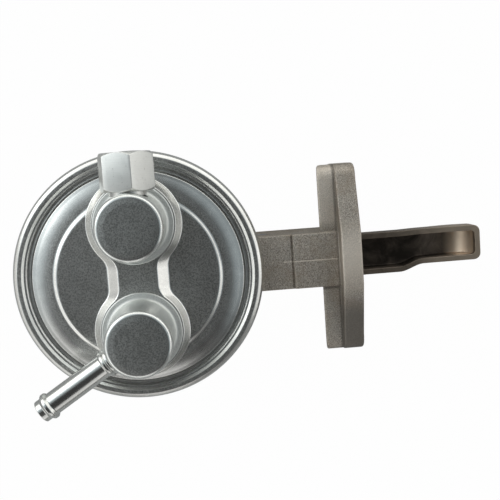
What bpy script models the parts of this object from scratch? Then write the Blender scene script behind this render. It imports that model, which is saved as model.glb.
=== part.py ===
"""Mechanical diaphragm fuel pump, bolted to an engine block and driven by a cam through a rocker arm.

Frame: +X points into the engine along the rocker arm, +Z points to the valve cups, +Y to the outlet.
The origin lies on the mounting face, in the pump's mid-plane, on the land below the arm's mouth.
All sizes are in metres. Heights called rise or drop count from the centre of the mounting flange.
"""
import math

import bmesh
import bpy
from mathutils import Matrix, Vector

# Clearances between neighbouring pieces
SEAT_GAP = 0.0003          # faces that rest on each other
PIN_GAP = 0.0003           # hole wall to the pin or rod in it
ARM_GAP = 0.0006           # rocker arm to the casting's side walls
LINK_GAP = 0.00045         # link to the rocker arm's side walls
HOOK_GAP = 0.0004          # link fork to the pull rod's button
DISC_GAP = 0.0004          # valve disc to the bore of its cage

# Mounting flange of the casting
FLANGE_HALF_LENGTH = 0.0415
FLANGE_HALF_HEIGHT = 0.020
FLANGE_FLAT_HALF = 0.011
SHOULDER_IN = 0.0072       # start of the rounded corner, in from the flange's end
SHOULDER_RISE = 0.0135
END_FLAT_HALF = 0.0065
FLANGE_T = 0.009
LEDGE_DEPTH = 0.0080
LEDGE_HALF_HEIGHT = 0.012
LEDGE_WALL = 0.0022
LEDGE_LEAN = 0.0048        # bottom of the ledge less deep than its top
CASTING_EDGE_R = 0.0008
BOLT_Y = 0.0318
BOLT_HOLE_R = 0.0044
POCKET_INSET = 0.0022      # neck side to the bolt pocket

# Neck and lever chamber of the casting
NECK_HALF_WIDTH = 0.012
NECK_WALL = 0.0022
NECK_RISE = 0.0137
NECK_STEP_X = 0.0288       # step in the neck's top, behind the mounting face
NECK_STEP = 0.001
CHAMBER_FLOOR_DROP = 0.0144
CHAMBER_WALL = 0.0026
CHAMBER_END = 0.0095       # cavity end beyond the pump axis
ROOF_WALL = 0.0024

# Bowl of the casting, under the diaphragm
PUMP_X = 0.0963            # pump axis, behind the mounting face
CLAMP_RISE = 0.018
RIM_FLANGE_T = 0.0031
CLAMP_LAND = 0.0062        # width of the clamped ring
BOWL_WALL = 0.003
BOWL_FLOOR_RISE = 0.0036
BOWL_TAPER = 0.0108        # bowl's floor radius less than its mouth
PARTITION_T = 0.0032
VENT_R = 0.0015

# Stamped cover, crimped over the casting's round flange
RIM_R = 0.053
COVER_T = 0.0012
CRIMP_LIP = 0.0034         # roll under the casting's round flange
BEAD_R = 0.0021
BEAD_RISE = 0.0019         # bead crest above the clamped land
LAND_IN = 0.0070           # rim to the foot of the step
STEP_RUN = 0.0013
STEP_RISE = 0.0020         # step above the clamped land
SLOPE_IN = 0.0098          # rim to the foot of the slope
SLOPE_BEND = 3             # how late the slope steepens towards the plateau
PLATEAU_IN = 0.0176        # rim to the plateau
PLATEAU_RISE = 0.0044      # plateau above the clamped land
STRAP_RISE = 0.0035        # strap and lobes above the plateau
LOBE_TOP_R = 0.0172
LOBE_FOOT_R = 0.0199
STRAP_TOP_HALF = 0.0078
STRAP_FOOT_HALF = 0.0128
STRAP_FILLET = 0.0075
STRAP_EDGE_DROP = 0.001    # steep wall's end below the strap's top

# Inlet and outlet cups
CUP_Y = 0.0226
CUP_R = 0.0137
CUP_T = 0.0011
CUP_HEIGHT = 0.0272
CUP_RING_R = 0.0168
CUP_FOOT_FILLET = 0.0016
CUP_TOP_FILLET = 0.0029
CUP_DRAFT = 0.0002
PORT_RISE = 0.0138         # port axes above the cups' feet

# Outlet fitting
HEX_FLATS = 0.0202
HEX_LENGTH = 0.0154
HEX_TURN = math.radians(13.5)
HEX_CHAMFER_R = 0.0106
HEX_CHAMFER = 0.0011
HEX_END_FLAT = 0.0001      # full face left round the chamfers
FITTING_NECK_R = 0.0075
SOCKET_R = 0.0070
SOCKET_DEPTH = 0.0115
SOCKET_CHAMFER = 0.0008
FLARE_SEAT_R = 0.0046
FLARE_SEAT_RISE = 0.0025
OUTLET_BORE_R = 0.0029

# Inlet tube
TUBE_R = 0.0047
TUBE_WALL = 0.001
TUBE_REACH = 0.0494        # tip from the cup's axis
TUBE_ANGLE = math.radians(180.0 + 32.3)
TUBE_BEAD_R = 0.0057
TUBE_BEAD_LENGTH = 0.0026
TUBE_BEAD_BACK = 0.0042    # bead centre behind the tip
TUBE_COLLAR_R = 0.0058
TUBE_COLLAR_LENGTH = 0.0036
TUBE_COLLAR_EDGE = 0.0008

# Valve units, one each way up
CAGE_R = 0.0077
CAGE_WALL = 0.0009
CAGE_HEIGHT = 0.0080
CAGE_DEPTH = 0.0018        # part of the cage below the lobe's top
CAGE_FLANGE_R = 0.0100
CAGE_FLANGE_T = 0.0010
SEAT_PLATE_T = 0.0014
SEAT_PORT_R = 0.0010
SEAT_PORT_COUNT = 6
DISC_T = 0.0012
DISC_TRAVEL = 0.0012
STEM_R = 0.0010
STEM_HEAD_R = 0.0035
STEM_RIVET_R = 0.0019
STEM_HEAD_T = 0.0008
VALVE_SPRING_OPEN = 0.0020  # spring's length with the valve wide open
VALVE_SPRING_R = 0.0024
VALVE_SPRING_WIRE_R = 0.00028
VALVE_SPRING_TURNS = 4

# Diaphragm, its plates, rod and spring
DIAPHRAGM_T = 0.0008
DOME_RISE = 0.0027         # clamped ring to the flat middle, at rest
PLATE_R = 0.027
PLATE_T = 0.001
PLATE_LIP = 0.0018
ROD_R = 0.0025
ROD_HEAD_R = 0.0048
ROD_HEAD_T = 0.001
BUTTON_R = 0.0038
BUTTON_T = 0.0020
SEAL_R = 0.0058
SEAL_HEIGHT = 0.0033
RETAINER_R = 0.0130
RETAINER_T = 0.0010
SPRING_R = 0.0108
SPRING_WIRE_R = 0.0009
SPRING_TURNS = 4

# Rocker arm and link
PIVOT_X = 0.042            # pivot behind the mounting face
PIN_R = 0.003
PIN_CHAMFER = 0.0005
ARM_REACH = 0.057          # tip in front of the mounting face
ARM_SHEET = 0.00235
ARM_TOP_RISE = 0.0055
ARM_TIP_RISE = 0.0045
ARM_WEB_DROP = 0.006
ARM_BEND_R = 0.0022
ARM_EAR = 0.0065           # side wall behind the pivot
ARM_EAR_SLOPE = 0.0026     # sloping end of that side wall
ARM_EAR_SHRINK = 0.7       # height left at its end
ARM_WEB_START = 0.009      # web's start in front of the pivot
JOGGLE_START = 0.0195
JOGGLE_END = 0.0305
TIP_NARROWER = 0.0030      # joggle of the -Y wall
TIP_SHIFT = 0.0003         # outward joggle of the +Y wall
PAD_START = 0.031
PAD_DEPTH = 0.0025
BRIDGE_BACK = 0.0085       # bridge's near side behind the pivot
BRIDGE_LENGTH = 0.0035
LINK_T = 0.0024
LINK_DROP = 0.0032         # top of the link below the pivot
LINK_SHEET = 0.0021
LINK_EAR_R = 0.0052
LINK_END = 0.0070          # fork tips beyond the pump axis
LINK_CORNER = 0.0018
ROCKER_SPRING_X = 0.0165   # spring in front of the pivot
ROCKER_SPRING_R = 0.0044
ROCKER_SPRING_WIRE_R = 0.0008
ROCKER_SPRING_TURNS = 5

# Facets
FACETS_LARGE = 40
FACETS_CUP = 26
FACETS_SMALL = 20
FACETS_TINY = 12
FACETS_PORT = 8
COIL_SIDES = 5
ARC_FACETS = 4
LAP = 0.0001               # keeps joined guides off each other's faces
CLOSED_TURN = 2.1          # rise of a spring's end turn, in wire radii

# Places worked out from the sizes
ROOF_RISE = NECK_RISE - NECK_STEP - ROOF_WALL
CAVITY_HALF = NECK_HALF_WIDTH - NECK_WALL
FLANGE_Z = (FLANGE_HALF_HEIGHT + CHAMBER_FLOOR_DROP) / 2
RIM_FLANGE_R = RIM_R - COVER_T - SEAT_GAP
BOWL_R = RIM_FLANGE_R - CLAMP_LAND
BOWL_FLOOR_R = BOWL_R - BOWL_TAPER
LAND_IN_R = RIM_R - LAND_IN
SLOPE_OUT_R = RIM_R - SLOPE_IN
PLATEAU_R = RIM_R - PLATEAU_IN
DIAPHRAGM_Z = CLAMP_RISE + SEAT_GAP
LAND_Z = DIAPHRAGM_Z + DIAPHRAGM_T + SEAT_GAP + COVER_T
CRIMP_Z = CLAMP_RISE - RIM_FLANGE_T - SEAT_GAP - COVER_T
PLATEAU_Z = LAND_Z + PLATEAU_RISE
LOBE_Z = PLATEAU_Z + STRAP_RISE
CUP_Z = LOBE_Z + SEAT_GAP
PORT_Z = CUP_Z + PORT_RISE
ARM_HALF = CAVITY_HALF - ARM_GAP
LINK_HALF = ARM_HALF - ARM_SHEET - LINK_GAP
LINK_LENGTH = PUMP_X - PIVOT_X
LINK_BOTTOM = LINK_DROP + LINK_T
BUTTON_Z = -LINK_BOTTOM - HOOK_GAP
PLATE_TOP_Z = DIAPHRAGM_Z + DOME_RISE + DIAPHRAGM_T + SEAT_GAP
PLATE_LOW_Z = DIAPHRAGM_Z + DOME_RISE - SEAT_GAP
SEAT_BORE_R = CAGE_R - CAGE_WALL


def material(name, color, roughness, metallic):
    """A plain Principled BSDF for one finish."""
    made = bpy.data.materials.new(name)
    made.use_nodes = True
    shader = made.node_tree.nodes["Principled BSDF"]
    shader.inputs["Base Color"].default_value = (*color, 1.0)
    shader.inputs["Roughness"].default_value = roughness
    shader.inputs["Metallic"].default_value = metallic
    return made


def empty(name, place):
    """A named point that pieces hang from."""
    point = bpy.data.objects.new(name, None)
    point.empty_display_size = 0.01
    point.location = place
    bpy.context.collection.objects.link(point)
    return point


def solid(name, points, faces, parent, finish=None, triangles=False):
    """A mesh object from points and faces, closed and facing out, under its parent."""
    mesh = bpy.data.meshes.new(name)
    shape = bmesh.new()
    corners = [shape.verts.new(point) for point in points]
    for face in faces:
        shape.faces.new([corners[index] for index in face])
    if triangles:
        bmesh.ops.triangulate(shape, faces=shape.faces)
    bmesh.ops.recalc_face_normals(shape, faces=shape.faces)
    shape.to_mesh(mesh)
    shape.free()
    made = bpy.data.objects.new(name, mesh)
    bpy.context.collection.objects.link(made)
    made.parent = parent
    if finish:
        mesh.materials.append(finish)
        mesh.shade_smooth()
        mesh.set_sharp_from_angle(angle=math.radians(32))
    return made


def revolve(name, profile, facets, parent, finish=None, turn=None):
    """Turn a closed profile of (radius, height) points about Z; turn lays the result along another axis."""
    points = []
    rings = []
    for radius, height in profile:
        if radius < 1e-9:
            rings.append([len(points)] * facets)
            points.append(Vector((0.0, 0.0, height)))
            continue
        rings.append(list(range(len(points), len(points) + facets)))
        for step in range(facets):
            angle = math.tau * step / facets
            points.append(Vector((radius * math.cos(angle), radius * math.sin(angle), height)))
    faces = []
    for index, ring in enumerate(rings):
        other = rings[(index + 1) % len(rings)]
        for step in range(facets):
            after = (step + 1) % facets
            loop = [ring[step], ring[after], other[after], other[step]]
            corners = list(dict.fromkeys(loop))
            if len(corners) > 2:
                faces.append(corners)
    if turn:
        points = [turn @ point for point in points]
    return solid(name, points, faces, parent, finish, triangles=True)


def loft(name, rings, parent, finish=None, flat_sides=False):
    """Join rings of as many points each into one closed solid with flat ends."""
    count = len(rings[0])
    points = [point for ring in rings for point in ring]
    faces = [list(range(count)), list(range(len(points) - count, len(points)))]
    for level in range(len(rings) - 1):
        for step in range(count):
            after = (step + 1) % count
            low = level * count
            high = low + count
            if flat_sides:
                faces.append([low + step, low + after, high + after, high + step])
            else:
                faces.append([low + step, low + after, high + after])
                faces.append([low + step, high + after, high + step])
    return solid(name, points, faces, parent, finish)


def prism(name, outline, start, end, axis, parent, finish=None):
    """Extrude an outline along X, Y or Z. The outline holds the other two coordinates in that order."""
    place = {
        "X": lambda a, b, depth: Vector((depth, a, b)),
        "Y": lambda a, b, depth: Vector((a, depth, b)),
        "Z": lambda a, b, depth: Vector((a, b, depth)),
    }[axis]
    rings = [[place(a, b, depth) for a, b in outline] for depth in (start, end)]
    return loft(name, rings, parent, finish, flat_sides=True)


def rod(name, radius, start, end, axis, place, parent, facets=FACETS_SMALL):
    """A plain round bar, used for bores."""
    outline = [(radius * math.cos(math.tau * step / facets), radius * math.sin(math.tau * step / facets))
               for step in range(facets)]
    bar = prism(name, outline, start, end, axis, parent)
    bar.location = place
    return bar


def box_outline(low_a, high_a, low_b, high_b):
    return [(low_a, low_b), (high_a, low_b), (high_a, high_b), (low_a, high_b)]


def arc(center, radius, start, end, steps=ARC_FACETS):
    """Points on an arc, in degrees, both ends in."""
    points = []
    for step in range(steps + 1):
        angle = math.radians(start + (end - start) * step / steps)
        points.append((center[0] + radius * math.cos(angle), center[1] + radius * math.sin(angle)))
    return points


def offset(points, distance):
    """Shift an open run of points sideways, to its left as it runs, by a sheet's thickness."""
    moved = []
    for index, point in enumerate(points):
        here = Vector(point)
        before = here - Vector(points[index - 1]) if index else None
        after = Vector(points[index + 1]) - here if index + 1 < len(points) else None
        sides = [Vector((-run.y, run.x)).normalized() for run in (before, after) if run is not None]
        side = sum(sides, Vector((0.0, 0.0))).normalized()
        reach = distance / max(side.dot(sides[0]), 0.5)
        moved.append(tuple(here + side * reach))
    return moved


def boolean(piece, tools, operation):
    """Cut, join or intersect a piece with guides that the build leaves out, all in one step."""
    guides = bpy.data.collections.new(f"{piece.name}_{operation.lower()}")
    bpy.context.scene.collection.children.link(guides)
    for tool in tools:
        tool.hide_render = True
        tool.display_type = "WIRE"
        guides.objects.link(tool)
    step = piece.modifiers.new(operation.lower(), "BOOLEAN")
    step.operation = operation
    step.solver = "EXACT"
    step.operand_type = "COLLECTION"
    step.collection = guides
    piece.modifiers.new("facets", "TRIANGULATE")


def cut(piece, *tools):
    boolean(piece, tools, "DIFFERENCE")


def join(piece, *tools):
    boolean(piece, tools, "UNION")


def soften(piece, width, segments=2, angle=40):
    """Round the edges of a piece that are sharper than the angle."""
    bevel = piece.modifiers.new("edges", "BEVEL")
    bevel.width = width
    bevel.segments = segments
    bevel.limit_method = "ANGLE"
    bevel.angle_limit = math.radians(angle)
    piece.modifiers.new("facets", "TRIANGULATE")


def coil(name, radius, wire, low, high, turns, parent, finish, facets, sides):
    """A compression spring with closed, flat end turns, from one height to another."""
    rise = high - low - 2 * wire
    steps = turns * facets
    points = []
    for step in range(steps + 1):
        angle = math.tau * step / facets
        share = step / steps
        closed = 1.0 / turns
        live = min(max((share - closed) / (1 - 2 * closed), 0.0), 1.0)
        lift = CLOSED_TURN * wire
        height = low + wire + lift * min(share / closed, 1.0) + (rise - 2 * lift) * live
        height += lift * max((share - 1 + closed) / closed, 0.0)
        middle = Vector((radius * math.cos(angle), radius * math.sin(angle), height))
        outward = Vector((math.cos(angle), math.sin(angle), 0.0))
        for side in range(sides):
            around = math.tau * side / sides
            points.append(middle + wire * (outward * math.cos(around) + Vector((0, 0, math.sin(around)))))
    rings = [points[step * sides:(step + 1) * sides] for step in range(steps + 1)]
    return loft(name, rings, parent, finish)


def flange_outline(half_height, shoulder_rise, inset=0.0):
    """Two-bolt flange: flat top, sloping shoulders, rounded ends. The rear ledge has level shoulders."""
    end = FLANGE_HALF_LENGTH - inset
    shoulder = FLANGE_HALF_LENGTH - SHOULDER_IN
    quarter = [(FLANGE_FLAT_HALF, half_height), (shoulder, shoulder_rise)]
    corner = Vector((end, shoulder_rise))
    start = Vector((shoulder, shoulder_rise))
    finish = Vector((end, END_FLAT_HALF))
    for step in range(1, ARC_FACETS + 1):
        share = step / ARC_FACETS
        point = start.lerp(corner, share).lerp(corner.lerp(finish, share), share)
        quarter.append(tuple(point))
    right = quarter + [(y, -z) for y, z in reversed(quarter)]
    return right + [(-y, z) for y, z in reversed(right)]


def make_casting(finish, flange, pump, pivot):
    """Die casting: two-bolt flange, hollow neck, lever chamber and the bowl under the diaphragm."""
    outline = flange_outline(FLANGE_HALF_HEIGHT, SHOULDER_RISE)
    casting = prism("body_casting", outline, -FLANGE_T, 0.0, "X", flange, finish)
    soften(casting, CASTING_EDGE_R)

    ledge_outline = flange_outline(LEDGE_HALF_HEIGHT, LEDGE_HALF_HEIGHT, SEAT_GAP)
    ledge_back = -FLANGE_T - LEDGE_DEPTH
    lean = LEDGE_LEAN / (2 * LEDGE_HALF_HEIGHT)
    ledge = loft("ledge", [
        [Vector((-FLANGE_T / 2, y, z)) for y, z in ledge_outline],
        [Vector((ledge_back + (LEDGE_HALF_HEIGHT - z) * lean, y, z)) for y, z in ledge_outline],
    ], flange, flat_sides=True)
    soften(ledge, CASTING_EDGE_R)

    low = -CHAMBER_FLOOR_DROP - CHAMBER_WALL
    neck_end = -PUMP_X + BOWL_R - BOWL_WALL
    chamber_end = -PUMP_X - CHAMBER_END - CHAMBER_WALL
    chamber_top = BOWL_FLOOR_RISE - PARTITION_T / 2
    side = [
        (-FLANGE_T / 2, low), (-FLANGE_T / 2, NECK_RISE), (-NECK_STEP_X, NECK_RISE),
        (-NECK_STEP_X - NECK_STEP, NECK_RISE - NECK_STEP), (neck_end, NECK_RISE - NECK_STEP),
        (neck_end, chamber_top), (chamber_end, chamber_top), (chamber_end, low + CHAMBER_END / 2),
        (chamber_end + CHAMBER_END / 2, low),
    ]
    neck = prism("neck", side, -NECK_HALF_WIDTH, NECK_HALF_WIDTH, "Y", flange)
    soften(neck, CASTING_EDGE_R)

    under = CLAMP_RISE - RIM_FLANGE_T
    floor_low = BOWL_FLOOR_RISE - PARTITION_T
    bowl = revolve("bowl", [
        (RIM_FLANGE_R, CLAMP_RISE), (RIM_FLANGE_R, under), (BOWL_R + BOWL_WALL, under),
        (BOWL_FLOOR_R + BOWL_WALL, floor_low), (0.0, floor_low), (0.0, CLAMP_RISE),
    ], FACETS_LARGE, pump)
    join(casting, ledge, neck, bowl)

    deep = BOWL_FLOOR_RISE
    tools = [revolve("bowl_cavity", [
        (0.0, deep), (BOWL_FLOOR_R, deep), (BOWL_R - CASTING_EDGE_R, CLAMP_RISE - 2 * CASTING_EDGE_R),
        (BOWL_R, CLAMP_RISE + SEAT_GAP), (0.0, CLAMP_RISE + SEAT_GAP),
    ], FACETS_LARGE, pump)]

    partition_low = BOWL_FLOOR_RISE - PARTITION_T
    cavity_end = -PUMP_X - CHAMBER_END
    neck_cavity_end = neck_end + BOWL_WALL
    cavity = [
        (FLANGE_T, -CHAMBER_FLOOR_DROP), (FLANGE_T, ROOF_RISE), (neck_cavity_end, ROOF_RISE),
        (neck_cavity_end, partition_low), (cavity_end, partition_low), (cavity_end, -CHAMBER_FLOOR_DROP),
    ]
    tools.append(prism("lever_cavity", cavity, -CAVITY_HALF, CAVITY_HALF, "Y", flange))

    tools.append(rod("rod_hole", ROD_R + PIN_GAP, partition_low - BOWL_WALL, BOWL_FLOOR_RISE + BOWL_WALL,
                     "Z", (0, 0, 0), pump, FACETS_TINY))
    vent_rise = (BOWL_FLOOR_RISE + CLAMP_RISE) / 2
    tools.append(rod("vent_hole", VENT_R, -RIM_R, -BOWL_FLOOR_R, "X", (0, 0, vent_rise), pump, FACETS_TINY))
    wide = NECK_HALF_WIDTH + BOWL_WALL
    tools.append(rod("pin_hole", PIN_R + PIN_GAP, -wide, wide, "Y", (0, 0, 0), pivot))

    pocket_in = NECK_HALF_WIDTH + POCKET_INSET
    pocket_out = FLANGE_HALF_LENGTH - LEDGE_WALL
    pocket_half = LEDGE_HALF_HEIGHT - LEDGE_WALL
    for number, way in enumerate((1, -1)):
        ends = sorted((way * pocket_in, way * pocket_out))
        tools.append(prism(f"bolt_pocket_{number}", box_outline(*ends, -pocket_half, pocket_half),
                           ledge_back - FLANGE_T, -FLANGE_T, "X", flange))
        tools.append(rod(f"bolt_hole_{number}", BOLT_HOLE_R, -2 * FLANGE_T, FLANGE_T, "X",
                         (0, way * BOLT_Y, 0), flange))
    cut(casting, *tools)
    return casting


def cover_profile():
    """Outer side of the stamped cover, from the crimped lip over the bead and the slope to its middle."""
    corner = COVER_T + SEAT_GAP
    crest = LAND_Z + BEAD_RISE
    bead = (RIM_R - BEAD_R, crest - BEAD_R)
    step_z = LAND_Z + STEP_RISE
    points = [(RIM_FLANGE_R - CRIMP_LIP, CRIMP_Z)]
    points += arc((RIM_R - corner, CRIMP_Z + corner), corner, -90, 0, 3)
    points += arc(bead, BEAD_R, 0, 150)
    points += [(LAND_IN_R, LAND_Z), (LAND_IN_R - STEP_RUN, step_z), (SLOPE_OUT_R, step_z)]
    rise = PLATEAU_Z - step_z
    for step in range(1, ARC_FACETS + 1):
        share = step / ARC_FACETS
        points.append((SLOPE_OUT_R + (PLATEAU_R - SLOPE_OUT_R) * share, step_z + rise * share ** SLOPE_BEND))
    points.append((0.0, PLATEAU_Z))
    return points


def dogbone(lobe_r, half_width, height):
    """Outline round both valve lobes and the strap between them, with hollow fillets."""
    fillet = STRAP_FILLET
    centre_x = half_width + fillet
    drop = math.sqrt((lobe_r + fillet) ** 2 - centre_x ** 2)
    lean = math.degrees(math.atan2(-drop, centre_x))
    fillet_y = CUP_Y - drop
    quarter = arc((0.0, CUP_Y), lobe_r, 90, lean, 2 * ARC_FACETS)
    quarter += arc((centre_x, fillet_y), fillet, 180 + lean, 180, 3)[1:]
    right = quarter + [(x, -y) for x, y in reversed(quarter)]
    whole = right + [(-x, y) for x, y in reversed(right[1:-1])]
    return [Vector((x, y, height)) for x, y in whole]


def make_cover(finish, pump):
    """Stamped steel cover: crimped rim, sloping shoulder, plateau, raised strap and two valve lobes."""
    outer = cover_profile()
    cover = revolve("fuel_cover", outer + [(0.0, CRIMP_Z)], FACETS_LARGE, pump, finish)
    middle = LOBE_Z - STRAP_EDGE_DROP
    half_way = (STRAP_TOP_HALF * 2 + STRAP_FOOT_HALF) / 3
    lobe_half_way = (LOBE_TOP_R * 2 + LOBE_FOOT_R) / 3
    deep = CLAMP_RISE
    join(cover, loft("raised_outside", [
        dogbone(LOBE_FOOT_R + COVER_T, STRAP_FOOT_HALF, deep),
        dogbone(LOBE_FOOT_R, STRAP_FOOT_HALF, PLATEAU_Z),
        dogbone(lobe_half_way, half_way, middle),
        dogbone(LOBE_TOP_R, STRAP_TOP_HALF, LOBE_Z),
    ], pump))

    lip_r = outer[0][0]
    inner = [(lip_r, CRIMP_Z - COVER_T), (lip_r, CRIMP_Z + COVER_T), (RIM_R - COVER_T, CRIMP_Z + COVER_T)]
    skirt = [point for point in offset(outer, COVER_T) if point[1] > CLAMP_RISE]
    inner += skirt[:-1]
    inner += [(0.0, PLATEAU_Z - COVER_T), (0.0, CRIMP_Z - COVER_T)]
    tools = [revolve("cover_inside", inner, FACETS_LARGE, pump)]
    tools.append(loft("raised_inside", [
        dogbone(LOBE_FOOT_R - LAP, STRAP_FOOT_HALF - COVER_T, deep),
        dogbone(LOBE_FOOT_R - COVER_T, STRAP_FOOT_HALF - COVER_T, PLATEAU_Z - COVER_T),
        dogbone(lobe_half_way - COVER_T, half_way - COVER_T, middle - COVER_T),
        dogbone(LOBE_TOP_R - COVER_T, STRAP_TOP_HALF - COVER_T, LOBE_Z - COVER_T),
    ], pump))
    for number, way in enumerate((1, -1)):
        tools.append(rod(f"valve_hole_{number}", CAGE_R + SEAT_GAP, PLATEAU_Z, CUP_Z + COVER_T, "Z",
                         (0, way * CUP_Y, 0), pump, FACETS_CUP))
    cut(cover, *tools)
    return cover


def make_cup(name, finish, pump, way, hole):
    """Drawn steel cup over one valve, with a foot ring and a round hole for its port."""
    top = CUP_Z + CUP_HEIGHT
    foot = CUP_Z + CUP_T
    wall_top_r = CUP_R - CUP_DRAFT
    inside_r = CUP_R - CUP_T
    profile = [(CUP_RING_R, CUP_Z), (CUP_RING_R, foot)]
    profile += arc((CUP_R + CUP_FOOT_FILLET, foot + CUP_FOOT_FILLET), CUP_FOOT_FILLET, -90, -180, 3)
    profile += arc((wall_top_r - CUP_TOP_FILLET, top - CUP_TOP_FILLET), CUP_TOP_FILLET, 0, 90)
    profile += [(0.0, top), (0.0, top - CUP_T)]
    profile += arc((wall_top_r - CUP_TOP_FILLET, top - CUP_TOP_FILLET), CUP_TOP_FILLET - CUP_T, 90, 0, 2)
    profile += [(inside_r, foot + CUP_FOOT_FILLET), (inside_r, CUP_Z)]
    cup = revolve(name, profile, FACETS_CUP, pump, finish)
    cup.location = (0.0, way * CUP_Y, 0.0)
    hole.parent = pump
    cut(cup, hole)
    return cup


def make_fitting(finish, pump):
    """Hexagonal outlet fitting: chamfered flats, a socket with a flare seat, and a neck into the cup."""
    inner_end = CUP_Y + CUP_R - CUP_T - SEAT_GAP
    hex_start = CUP_Y + CUP_R + SEAT_GAP
    hex_end = hex_start + HEX_LENGTH
    lay = Matrix.Rotation(math.radians(-90), 4, "X")
    corner_r = HEX_FLATS / math.sqrt(3)
    hexagon = []
    for step in range(6):
        angle = math.radians(90 - 60 * step) - HEX_TURN
        hexagon.append((corner_r * math.cos(angle), corner_r * math.sin(angle)))
    fitting = prism("outlet_fitting", hexagon, hex_start, hex_end, "Y", pump, finish)
    fitting.location = (0.0, 0.0, PORT_Z)
    slope = (corner_r - HEX_CHAMFER_R) * HEX_CHAMFER / (corner_r - HEX_FLATS / 2)
    chamfer = revolve("hex_chamfer", [
        (0.0, hex_start - HEX_END_FLAT), (HEX_CHAMFER_R, hex_start - HEX_END_FLAT),
        (corner_r + HEX_CHAMFER, hex_start + slope + HEX_CHAMFER),
        (corner_r + HEX_CHAMFER, hex_end - slope - HEX_CHAMFER),
        (HEX_CHAMFER_R, hex_end + HEX_END_FLAT), (0.0, hex_end + HEX_END_FLAT),
    ], FACETS_LARGE, pump, turn=lay)
    chamfer.location = (0.0, 0.0, PORT_Z)
    boolean(fitting, [chamfer], "INTERSECT")
    neck = revolve("fitting_neck", [
        (0.0, inner_end), (FITTING_NECK_R, inner_end), (FITTING_NECK_R, hex_start + HEX_CHAMFER),
        (0.0, hex_start + HEX_CHAMFER),
    ], FACETS_CUP, pump, turn=lay)
    neck.location = (0.0, 0.0, PORT_Z)
    join(fitting, neck)
    bottom = hex_end - SOCKET_DEPTH
    bore_start = inner_end - CUP_T
    socket_r = SOCKET_R - SOCKET_CHAMFER
    socket = revolve("outlet_socket", [
        (0.0, bore_start), (OUTLET_BORE_R, bore_start), (OUTLET_BORE_R, bottom + FLARE_SEAT_RISE),
        (FLARE_SEAT_R, bottom), (socket_r, bottom), (socket_r, hex_end - SOCKET_CHAMFER),
        (SOCKET_R + SEAT_GAP, hex_end + SEAT_GAP), (0.0, hex_end + SEAT_GAP),
    ], FACETS_SMALL, pump, turn=lay)
    socket.location = (0.0, 0.0, PORT_Z)
    cut(fitting, socket)
    return fitting


def tube_turn():
    """Lays a piece turned about Z along the inlet tube's direction."""
    return Matrix.Rotation(TUBE_ANGLE, 4, "Z") @ Matrix.Rotation(math.radians(90), 4, "Y")


def make_tube(finish, pump):
    """Inlet hose tube: a collar at the cup, a plain run and a bead behind the tip, bored through."""
    start = CUP_R - CUP_T - SEAT_GAP
    collar_start = CUP_R + SEAT_GAP
    collar_end = collar_start + TUBE_COLLAR_LENGTH
    bead = TUBE_REACH - TUBE_BEAD_BACK
    bore = TUBE_R - TUBE_WALL
    profile = [(bore, start), (TUBE_R, start), (TUBE_R, collar_start)]
    profile += [(TUBE_COLLAR_R, collar_start + TUBE_COLLAR_EDGE)]
    profile += [(TUBE_COLLAR_R, collar_end - TUBE_COLLAR_EDGE)]
    profile += [(TUBE_R, collar_end)]
    rise = TUBE_BEAD_R - TUBE_R
    bends = ARC_FACETS + 1
    for step in range(bends + 1):
        share = step / bends
        profile.append((TUBE_R + rise * math.sin(math.pi * share), bead + (share - 0.5) * TUBE_BEAD_LENGTH))
    edge = TUBE_WALL / 2
    profile += [(TUBE_R, TUBE_REACH - edge), (TUBE_R - edge, TUBE_REACH), (bore, TUBE_REACH)]
    tube = revolve("inlet_tube", profile, FACETS_SMALL, pump, finish, turn=tube_turn())
    tube.location = (0.0, -CUP_Y, PORT_Z)
    return tube


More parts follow.
